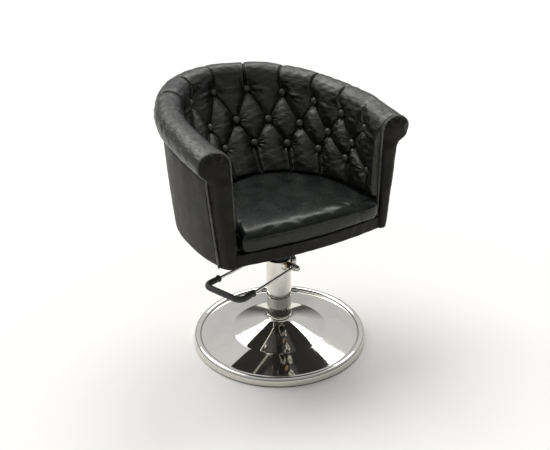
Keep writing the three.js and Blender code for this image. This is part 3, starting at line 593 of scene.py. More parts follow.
def make_room():
    """A grey room: dim at eye level and in front of the chair, bright overhead and behind it."""
    room = bpy.data.worlds.new("pale room")
    room.use_nodes = True
    tree = room.node_tree
    height = tree.nodes.new("ShaderNodeSeparateXYZ")
    tree.links.new(tree.nodes.new("ShaderNodeTexCoord").outputs["Generated"], height.inputs[0])
    ramp = tree.nodes.new("ShaderNodeValToRGB")
    ramp.color_ramp.elements[0].position = 0.06
    ramp.color_ramp.elements[0].color = (0.10, 0.10, 0.095, 1)
    ramp.color_ramp.elements[1].position = 0.9
    ramp.color_ramp.elements[1].color = (0.80, 0.81, 0.83, 1)
    middle = ramp.color_ramp.elements.new(0.33)
    middle.color = (0.66, 0.67, 0.69, 1)
    tree.links.new(height.outputs["Z"], ramp.inputs["Fac"])
    seen_directly = tree.nodes.new("ShaderNodeLightPath").outputs["Is Camera Ray"]
    backdrop = mix_colours(tree, seen_directly, ramp.outputs["Color"], (1.0, 0.995, 0.98))
    tree.links.new(backdrop, tree.nodes["Background"].inputs["Color"])
    deeper = tree.nodes.new("ShaderNodeMapRange")
    deeper.inputs["From Min"].default_value = -0.7
    deeper.inputs["From Max"].default_value = 0.2
    deeper.inputs["To Min"].default_value = 0.45
    tree.links.new(height.outputs["Y"], deeper.inputs["Value"])
    strength = math_node(tree, "MAXIMUM", deeper.outputs["Result"], seen_directly)
    tree.links.new(strength, tree.nodes["Background"].inputs["Strength"])
    return room


bpy.context.scene.world = make_room()


def soft_light(name, energy, spread, tilt_back, tilt_left):
    """A broad light from far away: as even on the floor as a lit ceiling."""
    light = bpy.data.lights.new(name, "SUN")
    light.energy = energy
    light.angle = math.radians(spread)
    lamp = bpy.data.objects.new(name, light)
    bpy.context.scene.collection.objects.link(lamp)
    lamp.rotation_euler = (math.radians(-tilt_back), math.radians(-tilt_left), 0)
    return lamp


soft_light("ceiling_light", 1.85, 42, 33, 14)
soft_light("ceiling_fill", 0.95, 30, 20, -28)
bpy.context.scene.view_settings.view_transform = "Standard"

# %% [markdown]
# ## Plan outlines of the tub
# Seen from above, every layer of the tub is a horseshoe: two nearly straight arms and a
# superellipse behind them. Each is walked by u, its share of length from the front of the
# left arm (u = 0) round the back to the front of the right arm (u = 1), so that the same u
# on two horseshoes gives two points of the same upright section.

# %% Horseshoes
ARM_PART = 0.3


class Horseshoe:
    def __init__(self, half, front, front_y, shoulder_y, back_y, power):
        t = np.linspace(0, 1, 4001)
        side = np.where(t < 0.5, 1.0, -1.0)
        s = np.where(t < 0.5, 2 * t, 2 - 2 * t)
        reach = 1 - s / ARM_PART
        turn = np.clip((s - ARM_PART) / (1 - ARM_PART), 0, 1) * math.pi / 2
        c, d = np.cos(turn), np.sin(turn)
        radius = ((c / half) ** power + (d / (back_y - shoulder_y)) ** power) ** (-1 / power)
        on_arm = s < ARM_PART
        self.x = side * np.where(on_arm, half + (front - half) * reach**2, radius * c)
        self.y = np.where(on_arm, shoulder_y + (front_y - shoulder_y) * reach, shoulder_y + radius * d)
        walked = np.concatenate([[0], np.cumsum(np.hypot(np.diff(self.x), np.diff(self.y)))])
        self.length = walked[-1]
        self.share = walked / self.length

    def at(self, u, z):
        u, z = np.broadcast_arrays(np.asarray(u, float), np.asarray(z, float))
        return np.stack([np.interp(u, self.share, self.x), np.interp(u, self.share, self.y), z], -1)


outer_foot = Horseshoe(0.320, 0.303, -0.172, -0.045, 0.290, 3.0)
outer_top = Horseshoe(0.3405, 0.330, -0.172, -0.031, 0.435, 2.1)
roll_line = Horseshoe(0.3185, 0.308, -0.188, -0.031, 0.413, 2.07)
inner_top = Horseshoe(0.280, 0.268, -0.188, -0.031, 0.374, 2.05)
inner_seat = Horseshoe(0.255, 0.254, -0.188, -0.121, 0.194, 2.04)
print("roll is", round(roll_line.length, 3), "m long, seat line", round(inner_seat.length, 3))

# %% [markdown]
# The roll climbs from the arms to the back, and near each end it flattens into the wider
# scroll of the arm front.

# %% Heights and the roll
SHELL_FOOT_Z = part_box("left_outer_panel")[0].z
SEAT_LEVEL_Z = 0.548
RIM_FRONT_Z, RIM_BACK_Z, RIM_EASE = 0.774, 0.836, 0.85
ROLL_RADIUS = 0.045
SCROLL_HALF_WIDTH, SCROLL_HALF_HEIGHT = 0.051, 0.040
SCROLL_CENTRE_X, SCROLL_CENTRE_Z = 0.310, 0.764
SCROLL_BLEND = 0.1
RIM_DROP = 0.0406
SHELL_TOP_DROP = 0.047


def rim_z(u):
    towards_back = 1 - np.abs(2 * u - 1)
    climbed = ((1 - np.cos(math.pi * towards_back)) / 2) ** RIM_EASE
    return RIM_FRONT_Z + (RIM_BACK_Z - RIM_FRONT_Z) * climbed


def scroll_share(u):
    return np.maximum(0, 1 - np.minimum(u, 1 - u) / SCROLL_BLEND)


def roll_centre(u):
    return roll_line.at(u, rim_z(u) + (SCROLL_CENTRE_Z - RIM_FRONT_Z) * scroll_share(u))


def roll_inwards(u):
    """Level unit vector from the roll's centre towards the sitter, square to X at the scrolls."""
    step = 0.002
    along = roll_centre(np.minimum(1, u + step)) - roll_centre(np.maximum(0, u - step))
    inwards = np.stack([-along[..., 1], along[..., 0] * (1 - scroll_share(u)), np.zeros_like(u)], -1)
    return inwards / np.linalg.norm(inwards, axis=-1, keepdims=True)


def roll_surface(u, degrees, proud=0.0):
    """A point of the roll. 0 degrees is its inner side, 90 the top, 180 the outer side."""
    angle = np.radians(degrees)
    share = scroll_share(u)
    wide = ROLL_RADIUS + (SCROLL_HALF_WIDTH - ROLL_RADIUS) * share + proud
    high = ROLL_RADIUS + (SCROLL_HALF_HEIGHT - ROLL_RADIUS) * share + proud
    level = roll_inwards(u) * (np.cos(angle) * wide)[..., None]
    return roll_centre(u) + level + np.array([0, 0, 1.0]) * (np.sin(angle) * high)[..., None]


def outer_wall(u, z, depth=0.0):
    """A point of the tub's outside, depth metres in from its face."""
    top = roll_centre(u)[..., 2] - SHELL_TOP_DROP
    share = ((z - SHELL_FOOT_Z) / (top - SHELL_FOOT_Z))[..., None]
    face = outer_foot.at(u, z) * (1 - share) + outer_top.at(u, z) * share
    inwards = inner_wall(u, np.clip((top - z) / (top - SEAT_LEVEL_Z), 0, 1)) - face
    inwards[..., 2] = 0
    return face + inwards / np.linalg.norm(inwards, axis=-1, keepdims=True) * depth


def inner_wall(u, t):
    """A point of the padded face: t = 0 under the roll, 1 at seat level."""
    rim = roll_centre(u)[..., 2] - RIM_DROP
    z = rim + (SEAT_LEVEL_Z - rim) * t
    t = np.asarray(t, float)[..., None]
    return inner_top.at(u, z) * (1 - t) + inner_seat.at(u, z) * t


print("shell foot at", round(SHELL_FOOT_Z, 3), "scroll top at", SCROLL_CENTRE_Z + SCROLL_HALF_HEIGHT)

# %% [markdown]
# ## Deep buttoning
# An upholsterer marks a net of diamonds on the leather, pulls a button in at every crossing
# and folds the slack into pleats along the lines. The same net drives the mesh here. A
# column number c counts across from the middle of the back and a row number r counts down
# from the roll, so the pleats are the lines where c + r/2 or c - r/2 is a half number. Below
# the last row and over the roll they run straight.

# %% The net of buttons
ROW_DEPTHS = (0.0, 0.37, 0.66)
ROW_PITCHES = (0.1266 / inner_top.length, 0.0904, 0.1002)
ROW_COUNTS = (10, 9, 10)
ROW_SHIFTS = (-0.0165, -0.0105, 0.005)
LAST_PLEAT = 4.5


def column_pitch(t):
    return np.interp(t, ROW_DEPTHS, ROW_PITCHES)


def column_number(u, t):
    return (u - 0.5 - np.interp(t, ROW_DEPTHS, ROW_SHIFTS)) / column_pitch(t)


def row_number(t):
    return np.interp(t, (-1.0, *ROW_DEPTHS, 1.2), (-2.7, 0, 1, 2, 3.5))


def button_places():
    found = []
    for t, pitch, count, shift in zip(ROW_DEPTHS, ROW_PITCHES, ROW_COUNTS, ROW_SHIFTS):
        for i in range(count):
            found.append((0.5 + shift + (i - (count - 1) / 2) * pitch, t))
    return np.array(found)


buttons = button_places()
print(len(buttons), "buttons in rows of", ROW_COUNTS)

# %% [markdown]
# The relief is worked out from distances to the nearest pleats. Each pillow rises steeply
# from its pleats and flattens, a narrow groove cuts the pleat itself with a lip of folded
# leather beside it, and a pit with short gathers lies round each button.

# %% Relief of the pillows
PLEAT_SPACING = 0.105
PILLOW_EASE = 0.019
PILLOW_HEIGHT = 0.021
GROOVE_WIDTH, GROOVE_DEPTH = 0.0024, 0.0042
LIP_OFFSET, LIP_WIDTH, LIP_HEIGHT = 0.0062, 0.0026, 0.0021
PIT_RADIUS, PIT_DEPTH = 0.023, 0.0115
GATHER_REACH, GATHER_HEIGHT, GATHER_COUNT = 0.022, 0.0012, 11


def nearest_line(value, low, high):
    return np.clip(np.floor(value) + 0.5, low, high)


def pleat_distances(column, row):
    """Signed distances, in metres, to the two nearest pleats."""
    r = np.clip(row, 0, 2)
    falling, rising = column + r / 2, column - r / 2
    to_falling = falling - nearest_line(falling, 1 - LAST_PLEAT, LAST_PLEAT)
    to_rising = rising - nearest_line(rising, -LAST_PLEAT, LAST_PLEAT - 1)
    return to_falling * PLEAT_SPACING, to_rising * PLEAT_SPACING


def pillow_relief(column, row):
    first, second = pleat_distances(column, row)
    near = [np.abs(first), np.abs(second)]
    rise = [1 - np.exp(-d / PILLOW_EASE) for d in near]
    on_roll = smoothstep(0.0, -0.5, row)
    rise_on_roll = 1 - np.exp(-np.minimum(*near) / 0.007)
    pillow = rise[0] * rise[1] * (1 - on_roll) + rise_on_roll * on_roll
    reach = np.interp(np.abs(column), (1.6, 2.6, 3.6, 4.6), (-1.7, -1.5, -1.0, -0.7))
    on_reach = 1 - smoothstep(0.45, 1.0, row / reach)
    fade = (1 - 0.72 * on_roll) * on_reach
    fade = fade * (1 - 0.7 * smoothstep(2.6, 3.3, row))
    groove = np.maximum(*[np.exp(-((d / GROOVE_WIDTH) ** 2)) for d in near])
    lips = [np.exp(-(((d - LIP_OFFSET) / LIP_WIDTH) ** 2)) for d in (first, -second)]
    lip = np.maximum(*lips) * (1 - 0.6 * on_roll)
    height = (pillow - on_roll) * PILLOW_HEIGHT * fade
    groove_fade = on_reach * (1 - smoothstep(3.0, 3.5, row))
    return height + (LIP_HEIGHT * lip - GROOVE_DEPTH * groove) * groove_fade


def button_relief(points, column, row):
    """Pits and gathers, from true distances to the buttons' places."""
    centres = inner_wall(buttons[:, 0], buttons[:, 1])
    height = np.zeros(points.shape[:2])
    rng = np.random.default_rng(12)
    for centre, (u, t) in zip(centres, buttons):
        away = np.linalg.norm(points - centre, axis=-1)
        across = (column - column_number(u, t)) * PLEAT_SPACING
        down = (row - row_number(t)) * PLEAT_SPACING
        angle = np.arctan2(down, across)
        height -= PIT_DEPTH * np.exp(-((away / PIT_RADIUS) ** 2))
        swell = np.exp(-((away - GATHER_REACH) / 0.012) ** 2)
        height += GATHER_HEIGHT * swell * np.sin(GATHER_COUNT * angle + rng.uniform(0, 6.28))
    return height


print("pillow height", PILLOW_HEIGHT, "m, pleats every", PLEAT_SPACING, "m")

# %% [markdown]
# ## The tub's inner skin
# On the real chair one run of leather goes from the seat up the buttoned inside and over the
# roll. It could be sculpted, or simulated with pins at the buttons. A section swept along
# the horseshoe is exact, quick and the same every time: each section goes round the roll,
# down the pleated face and back up inside the wall.

# %% Section of the tub
TUB_STEPS = 860
ROLL_START, ROLL_END = 282, -22
HIDDEN_DEPTH = 0.031
HIDDEN_FOOT_Z = 0.492
HIDDEN_TOP_DROP = 0.049
BELOW_STEPS, RISING_STEPS = 9, 16


def tub_sections():
    u = np.linspace(0, 1, TUB_STEPS)[:, None]
    over_roll = np.linspace(ROLL_START, ROLL_END, 130)
    down_face = np.linspace(0.02, 1.0, 168)
    ones = np.ones_like(u)
    parts = [roll_surface(u * np.ones(len(over_roll)), over_roll * ones)]
    parts.append(inner_wall(u * np.ones(len(down_face)), down_face * ones))
    below = np.linspace(SEAT_LEVEL_Z, HIDDEN_FOOT_Z, BELOW_STEPS + 1)[1:]
    parts.append(inner_seat.at(u, below))
    wall_top = roll_centre(u)[..., 2] - HIDDEN_TOP_DROP
    rising = HIDDEN_FOOT_Z + (wall_top - HIDDEN_FOOT_Z) * np.linspace(0, 1, RISING_STEPS)
    parts.append(outer_wall(u * np.ones(RISING_STEPS), rising, HIDDEN_DEPTH))
    walked = np.radians(over_roll[-1] - over_roll) * ROLL_RADIUS
    hidden = np.full(BELOW_STEPS + RISING_STEPS, 1.2)
    depth = np.concatenate([(walked - 0.014) / 0.3, down_face, hidden])
    return u, np.concatenate(parts, axis=1), depth, len(over_roll), len(down_face)


def relax(points, columns, rounds):
    """Smooths a few neighbouring columns across the section, to round the join they span."""
    for _ in range(rounds):
        middle = (points[:, columns - 1] + points[:, columns + 1]) / 2
        points[:, columns] = (points[:, columns] + middle) / 2
    return points


def build_tub():
    u, points, depth, roll_count, face_count = tub_sections()
    points = relax(points, np.arange(roll_count - 11, roll_count + 11), 36)
    visible = roll_count + face_count
    depth = np.broadcast_to(depth, points.shape[:2])
    column = column_number(u, depth)
    row = row_number(depth)
    outward = normals_of(points, wrap=True)
    middle = np.array([0, 0.05, 0.62])
    face = slice(roll_count + 20, roll_count + 60)
    facing = np.sum((middle - points[:, face]) * outward[:, face])
    if facing < 0:
        outward = -outward
    relief = pillow_relief(column, row) + button_relief(points, column, row)
    relief += 0.0006 * ripples(points, 0.04, 3, (1, 1, 0.4)) + 0.0013 * ripples(points, 0.16, 4)
    shown = smoothstep(265, 235, np.linspace(ROLL_START, ROLL_END, roll_count))
    mask = np.concatenate([shown, np.ones(face_count), np.zeros(points.shape[1] - visible)])
    ends = smoothstep(0, 0.008, np.minimum(u, 1 - u))
    return points + outward * (relief * mask * ends)[..., None]


tub = skin("tub_inner_leather", build_tub())
show(
    tub, "chair", tub_leather, "tub_leather",
    "left_pad", "back_pad", "right_pad", "left_roll", "back_roll", "right_roll",
)

# %% [markdown]
# ## Buttons
# Each button is a leather-covered dome with a pressed waist, set in its pit square to the
# padded face. One mesh serves for all of them.

# %% The buttons
BUTTON_RADIUS = 0.0135
BUTTON_HEIGHT = 0.0095


def button_profile():
    arc = [math.radians(angle) for angle in range(0, 91, 9)]
    dome = []
    for angle in arc:
        height = 0.0022 + BUTTON_HEIGHT * math.sin(angle) ** 1.15
        dome.append((BUTTON_RADIUS * math.cos(angle) ** 0.8, height))
    under = [(0.0, -0.004), (0.009, -0.004), (0.0115, -0.0015), (0.0132, 0.0008)]
    return [*under, *dome[:-1], (0.0, dome[-1][1])]


def inner_facing(u, t):
    step = 0.01
    low, high = inner_wall(u - step, t), inner_wall(u + step, t)
    above, below = inner_wall(u, max(t, 0.06) - step), inner_wall(u, max(t, 0.06) + step)
    normal = Vector(np.cross(high - low, below - above)).normalized()
    centre = Vector(inner_wall(u, t))
    return normal if normal.dot(Vector((0, 0, centre.z)) - centre) > 0 else -normal


def set_buttons():
    shared = turned("back_button_01", button_profile(), sides=36)
    for number, (u, t) in enumerate(buttons, start=1):
        piece = shared
        if number > 1:
            piece = bpy.data.objects.new(f"back_button_{number:02d}", shared.data)
            bpy.context.scene.collection.objects.link(piece)
        facing = inner_facing(np.float64(u), np.float64(t))
        if t == 0:
            facing = (facing + UP * -0.05).normalized()
        piece.rotation_mode = "QUATERNION"
        piece.rotation_quaternion = facing.to_track_quat("Z", "Y")
        piece.location = Vector(inner_wall(np.float64(u), np.float64(t))) - facing * 0.001
        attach(piece, "chair")
    shared.data.materials.append(button_leather)
    return shared


set_buttons()

# %% [markdown]
# ## Outside of the tub
# The outside is one wide panel of leather pulled over a thin pad: nearly straight from foot
# to roll, a little full in the middle, with long upright waves where it is pulled. Two
# stitched seams divide it where the arms meet the back.

# %% Outer panels
PANEL_STEPS = 420
PANEL_THICKNESS = 0.0115
PANEL_FULLNESS = 0.0035
SEAM_PLACES = (0.29, 0.71)


def build_outside():
    u = np.linspace(0, 1, PANEL_STEPS)[:, None]
    top = roll_centre(u)[..., 2] - 0.0415
    share = np.linspace(0, 1, 90)
    z = SHELL_FOOT_Z + (top - SHELL_FOOT_Z) * share
    wide = u * np.ones(len(share))
    face = outer_wall(wide, z)
    inwards = outer_wall(wide, z, 1.0) - face
    full = PANEL_FULLNESS * np.sin(math.pi * share) ** 0.7
    tuck = 0.006 * np.exp(-share / 0.012) + 0.004 * np.exp(-(1 - share) / 0.02)
    waves = 0.0008 * ripples(face, 0.13, 8, (1, 1, 4)) + 0.0003 * ripples(face, 0.06, 9, (1, 1, 3))
    pulls = 0.0011 * ripples(face, 0.07, 10, (1, 1, 3)) * np.exp(-(1 - share) / 0.12)
    seams = sum(0.0035 * np.exp(-(((u - place) * 1.45 / 0.0022) ** 2)) for place in SEAM_PLACES)
    moved = -full + tuck - waves - pulls + seams
    front = face + inwards * moved[..., None]
    back = outer_wall(wide, z, PANEL_THICKNESS)[:, ::-1][:, ::6]
    return skin("tub_outer_leather", np.concatenate([front, back], axis=1))


outside = show(
    build_outside(), "chair", side_leather, "side_leather",
    "left_outer_panel", "back_outer_panel", "right_outer_panel",
)

# %% [markdown]
# Lines of stitching beside each seam are too small to cut into the panel. A row of short
# thread tubes, joined into one piece, shows every stitch.

# %% Stitches
STITCH_LENGTH, STITCH_GAP, STITCH_RADIUS = 0.0055, 0.0025, 0.00055
STITCH_SIDES = 6
SEAM_TO_STITCHES = 0.0042


def stitch_row(name, path, body, slot):
    """Short threads along a path of points, joined into one piece."""
    path = np.array(path, float)
    walked = walked_along(path)

    def place(length):
        return np.array([np.interp(length, walked, path[:, k]) for k in range(3)])

    rows = []
    faces = []
    start = STITCH_GAP
    while start + STITCH_LENGTH < walked[-1]:
        ends = place(start), place(start + STITCH_LENGTH)
        way = (ends[1] - ends[0]) / np.linalg.norm(ends[1] - ends[0])
        side = np.cross(way, (0.3, 0.2, 1.0) if abs(way[2]) < 0.9 else (1.0, 0.3, 0))
        side /= np.linalg.norm(side)
        over = np.cross(side, way)
        first = len(rows)
        for t, size in ((0, 0.3), (0.15, 1), (0.85, 1), (1, 0.3)):
            centre = ends[0] + (ends[1] - ends[0]) * t
            for corner in range(STITCH_SIDES):
                angle = corner * math.pi / 3
                outwards = side * math.cos(angle) + over * math.sin(angle)
                rows.append(centre + outwards * STITCH_RADIUS * size)
        for level in range(3):
            for corner in range(STITCH_SIDES):
                ring = first + level * STITCH_SIDES
                a, b = ring + corner, ring + (corner + 1) % STITCH_SIDES
                faces.append((a, b, b + STITCH_SIDES, a + STITCH_SIDES))
        last = first + 3 * STITCH_SIDES
        faces.append(tuple(first + corner for corner in range(STITCH_SIDES)))
        faces.append(tuple(last + corner for corner in reversed(range(STITCH_SIDES))))
        start += STITCH_LENGTH + STITCH_GAP
    mesh = bpy.data.meshes.new(name)
    mesh.from_pydata([tuple(row) for row in rows], [], faces)
    return show(finish_mesh(name, mesh), body, button_leather, slot)


for label, seam in zip(("left", "right"), SEAM_PLACES):
    for edge, shift in (("front", -SEAM_TO_STITCHES), ("rear", SEAM_TO_STITCHES)):
        if label == "right":
            shift = -shift
        top = float(roll_centre(np.float64(seam))[2]) - 0.055
        z = np.linspace(SHELL_FOOT_Z + 0.012, top, 60)
        u = np.full(60, seam + shift)
        bulge = PANEL_FULLNESS * np.sin(math.pi * np.linspace(0.02, 0.98, 60)) ** 0.7
        face, inside = outer_wall(u, z, 0.0), outer_wall(u, z, 1.0)
        line = face + (face - inside) * (bulge + 0.0002)[:, None]
        stitch_row(f"{label}_seam_stitches_{edge}", line, "chair", "side_leather")

# %% [markdown]
# ## Arm fronts
# The front of each arm is a keyhole of leather: a narrow panel that opens into the round
# scroll. It wraps the outer corner to meet the side seam. Rows follow its outline from the
# foot up, round the scroll to its top, and columns go from the outer edge to the inner one.

# %% The keyhole outline
FRONT_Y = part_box("left_arm_front")[0].y
WALL_END_Y = -0.189
SIDE_SEAM_Y = -0.1745
NECK_Z = 0.722
INNER_EDGE_FOOT, INNER_EDGE_TOP = 0.2545, 0.2605
OUTER_EDGE_FOOT, OUTER_EDGE_NECK = 0.303, 0.330
FACE_HALF_WIDTH, FACE_HALF_HEIGHT = 0.0485, 0.0378


def keyhole_rows():
    """For each row: height, outer x, inner x and how far it belongs to the scroll."""
    panel = np.linspace(0, 1, 64)
    z = SHELL_FOOT_Z + (NECK_Z - SHELL_FOOT_Z) * panel
    outer = OUTER_EDGE_FOOT + (OUTER_EDGE_NECK - OUTER_EDGE_FOOT) * panel
    angle = np.radians(np.linspace(-52, 90, 46))[1:]
    scroll_z = SCROLL_CENTRE_Z + FACE_HALF_HEIGHT * np.sin(angle)
    scroll_outer = SCROLL_CENTRE_X + FACE_HALF_WIDTH * np.cos(angle)
    scroll_inner = SCROLL_CENTRE_X - FACE_HALF_WIDTH * np.cos(angle)
    z = np.concatenate([z, scroll_z])
    outer = np.concatenate([outer, scroll_outer])
    straight = np.interp(z, (SHELL_FOOT_Z, SCROLL_CENTRE_Z), (INNER_EDGE_FOOT, INNER_EDGE_TOP))
    lower = np.concatenate([np.ones(len(panel), bool), angle < 0])
    inner = np.where(lower, straight, np.concatenate([straight[: len(panel)], scroll_inner]))
    return z, outer, np.maximum(inner, straight), smoothstep(0.700, 0.735, z)


row_z, row_outer, row_inner, row_scroll = keyhole_rows()
print("keyhole is", round(float((row_outer - row_inner).max()) * 1000), "mm wide at the scroll")

# %% [markdown]
# Columns bunch up towards both edges, where the leather turns under. The face is crowned,
# the scroll more than the panel, and gathers fan out from the top of the scroll.

# %% Arm front panels
FRONT_COLUMNS = 44
SCROLL_DOME = 0.019
PANEL_CROWN = 0.0035


def arm_front_grid():
    s = (1 - np.cos(np.linspace(0, math.pi, FRONT_COLUMNS))) / 2
    z, outer, inner, scroll = (a[:, None] for a in (row_z, row_outer, row_inner, row_scroll))
    x = outer + (inner - outer) * s
    wrap = np.exp(-((outer - x) / 0.013) ** 1.5)
    edge_y = WALL_END_Y * scroll + (1 - scroll) * (FRONT_Y + (SIDE_SEAM_Y - FRONT_Y) * wrap)
    inner_turn = 0.6 * np.exp(-((x - inner) / 0.004) ** 1.3)
    edge_y = edge_y + (1 - scroll) * (WALL_END_Y - FRONT_Y) * inner_turn
    to_edge = np.minimum(s, 1 - s) * 2
    off_x = (x - SCROLL_CENTRE_X) / FACE_HALF_WIDTH
    off_z = (z - SCROLL_CENTRE_Z) / FACE_HALF_HEIGHT
    out = np.clip(np.hypot(off_x, np.maximum(off_z, -0.2 * off_z)), 0, 1)
    dome = SCROLL_DOME * np.sqrt(np.clip(1 - out**3, 0, 1))
    crown = PANEL_CROWN * to_edge ** 0.5
    turn = np.arctan2(off_z, off_x)
    fan = np.maximum(0, np.sin(turn)) ** 0.5 * smoothstep(0.15, 0.9, out)
    fan = fan * (1 - smoothstep(0.93, 1.0, out))
    gathers = 0.0050 * np.exp(-((np.sin(4.0 * turn + 0.9) / 0.35) ** 2)) * fan
    y = edge_y - dome * scroll - crown * (1 - scroll) + (0.0014 - gathers) * scroll
    points = np.stack([x, y, z * np.ones_like(x)], -1)
    points[..., 1] += 0.0005 * ripples(points, 0.03, 21) + 0.0009 * ripples(points, 0.09, 22)
    return points


def build_arm_front(name, side):
    face = arm_front_grid()
    rear = face[:, ::-1].copy()
    rear[..., 1] = np.maximum(face[:, ::-1, 1] + 0.003, -0.1885)
    rear[..., 1] = np.where(rear[..., 1] > SIDE_SEAM_Y, SIDE_SEAM_Y, rear[..., 1])
    points = np.concatenate([face, rear[:, 1:-1]], axis=1)
    points[..., 0] *= side
    return skin(name, points, merge=2e-5)


for label, side in (("left", 1), ("right", -1)):
    front = build_arm_front(f"{label}_arm_front_leather", side)
    show(front, "chair", side_leather, "side_leather", f"{label}_arm_front", f"{label}_scroll_cap")

# %% [markdown]
# A welt, a cord wrapped in leather, covers the seam all round the keyhole. It is the part
# of the chair that gets knocked, so its ridges take rubbed wear, and its lighter grey colour is a painted
# highlight along the welt.

# %% Welts round the arm fronts
WELT_RADIUS = 0.0036


def keyhole_edge():
    outer_y = WALL_END_Y - 0.003 + (SIDE_SEAM_Y - WALL_END_Y) * (1 - row_scroll)
    outer = np.stack([row_outer, outer_y, row_z], -1)
    inner = np.stack([row_inner, np.full_like(row_z, WALL_END_Y - 0.005), row_z], -1)[::-1]
    edge = np.concatenate([outer, inner[1:]])
    walked = walked_along(edge)
    even = np.linspace(0, walked[-1], 330)
    return np.stack([np.interp(even, walked, edge[:, k]) for k in range(3)], -1)


for label, side in (("left", 1), ("right", -1)):
    edge = keyhole_edge()
    for _ in range(6):
        edge[1:-1] = (edge[:-2] + 2 * edge[1:-1] + edge[2:]) / 4
    radius = WELT_RADIUS * (1 + 0.10 * ripples(edge, 0.02, 31) + 0.05 * ripples(edge, 0.007, 32))
    edge[:, 0] *= side
    welt = tube(f"{label}_arm_welt", edge, radius, sides=14, guide=(0, 1, 0))
    # The welt's lighter grey colour paints in its highlight; its rubbed ridges are wear.
    show(welt, "chair", welt_leather_highlight_and_wear, "tub_leather")

# %% [markdown]
# ## Front rail
# Under the cushion a leather-covered rail bows forward between the arms. Its section is a
# soft-cornered box, swept across the chair.

# %% Front rail
RAIL_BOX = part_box("front_rail")
RAIL_BOW = 0.024
RAIL_CORNER_Y = RAIL_BOX[0].y + RAIL_BOW


def build_rail():
    s = np.linspace(-1, 1, 121)[:, None]
    low, high = RAIL_BOX[0].z, RAIL_BOX[1].z
    back_y = RAIL_BOX[1].y
    section = np.array(rounded([(0.5, low), (1.0, low), (1.0, high), (0.5, high)], 0.009, 6))
    share, z = (section[:, 0] - 0.5) * 2, section[:, 1]
    front_y = RAIL_CORNER_Y - RAIL_BOW * (1 - s**2)
    y = back_y + (front_y - back_y) * share
    x = s * (RAIL_BOX[1].x + 0.006) * np.ones_like(y)
    points = np.stack([x, y, z * np.ones_like(y)], -1)
    points[..., 1] += share * (0.0006 * ripples(points, 0.05, 41) - 0.001)
    return skin("front_rail_leather", points)


rail = show(build_rail(), "chair", side_leather, "side_leather", "front_rail")

# %% [markdown]
# ## Deck and dust cover
# Nobody sees them unless the cushion is out or the chair is on its side, but they close the
# seat. The deck is a slab of foam on the plywood. The dust cover is black lining stretched
# flat under the frame and stapled to it, so it needs no simulation: only the shallow
# puckers that run in from its edge.

# %% Foam deck
DECK_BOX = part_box("seat_deck")
SEAT_MIDDLE_Y = -0.04
SEAT_MIDDLE = np.array([0, SEAT_MIDDLE_Y, 0])


def even_outline(outline, count):
    """The same closed outline, with its points spread evenly."""
    closed = np.concatenate([outline, outline[:1]])
    walked = walked_along(closed)
    even = np.linspace(0, walked[-1], count, endpoint=False)
    return np.stack([np.interp(even, walked, closed[:, k]) for k in range(3)], -1)


def clear_of_face(u, clearance):
    """Points at seat level, that far in from the padded face."""
    behind = inner_seat.at(u, 0.0)
    towards = SEAT_MIDDLE - behind
    return behind + towards / np.linalg.norm(towards, axis=1)[:, None] * clearance


def seat_outline(clearance, front_y, front_half, count=240):
    """Plan that follows the padded face behind and a straight line in front."""
    behind = clear_of_face(np.linspace(0.02, 0.98, 160), clearance)
    across = np.linspace(-front_half, front_half, 60)
    front = np.stack([across, np.full(60, front_y), np.zeros(60)], -1)
    return even_outline(np.concatenate([behind, front]), count)


def slab(outline, levels):
    """levels are [height, share of the outline's size] from the underside to the top."""
    middle = np.array([0, outline[:, 1].mean(), 0])
    layers = []
    for height, share in levels:
        ring = middle + (outline - middle) * share
        ring[:, 2] = height
        layers.append(ring)
    return np.stack(layers)


def build_deck():
    low, high = DECK_BOX[0].z, DECK_BOX[1].z
    levels = [(low, share) for share in (0.05, 0.35, 0.65, 0.9, 0.985)]
    levels += [(low + 0.002, 0.996), (low + 0.006, 1.0)]
    levels += [(high - 0.006, 1.0), (high - 0.0015, 0.994)]
    levels += [(high, share) for share in (0.98, 0.9, 0.65, 0.35, 0.05)]
    points = slab(seat_outline(0.005, DECK_BOX[0].y, 0.247), levels)
    points[9:, :, 2] -= 0.0006 * (1 + ripples(points[9:], 0.05, 61))
    return skin("foam_seat_deck", points)


deck = show(build_deck(), "chair", deck_foam, "deck_foam", "seat_deck")

# %% Dust cover
CLOTH_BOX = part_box("dust_cover")
CLOTH_INSET = 0.016
PUCKERS = 64


def build_dust_cover():
    """A thin lining with puckers at its stapled edge."""
    behind = outer_wall(np.linspace(0, 1, 200), np.full(200, SHELL_FOOT_Z), CLOTH_INSET)
    corner = float(behind[0, 0]) - 0.004
    across = np.linspace(-corner, corner, 80)
    front = np.stack([across, np.full(80, CLOTH_BOX[0].y), np.zeros(80)], -1)
    behind = behind[behind[:, 1] > CLOTH_BOX[0].y]
    outline = even_outline(np.concatenate([behind, front]), 360)
    low, high = CLOTH_BOX[0].z + 0.0001, CLOTH_BOX[1].z - 0.0001
    shares = (0.03, 0.3, 0.55, 0.75, 0.88, 0.94, 0.97, 0.99, 1.0)
    under = [(low, share) for share in shares]
    over = [(high, share) for share in shares[::-1]]
    points = slab(outline, under + over)
    size = np.array(shares + shares[::-1])[:, None]
    turn = np.linspace(0, 2 * math.pi, 360, endpoint=False)[None, :]
    edge = np.exp(-((size - 0.955) / 0.03) ** 2)
    points[..., 2] += 0.00035 * edge * np.sin(PUCKERS * turn) - 0.0004 * edge
    return skin("stretched_dust_cover", points)


dust_cover = show(build_dust_cover(), "chair", dust_cloth, "dust_cloth", "dust_cover")

# %% [markdown]
# ## Seat cushion
# The cushion is a box of leather round foam, so its top swells and its band bulges. Cloth
# simulation with inner pressure does this on its own: the start shape is a little small, the
# pressure blows it up, and a cap keeps any point from going too far. The seams are put on
# afterwards as welts, because remeshing would lose them.

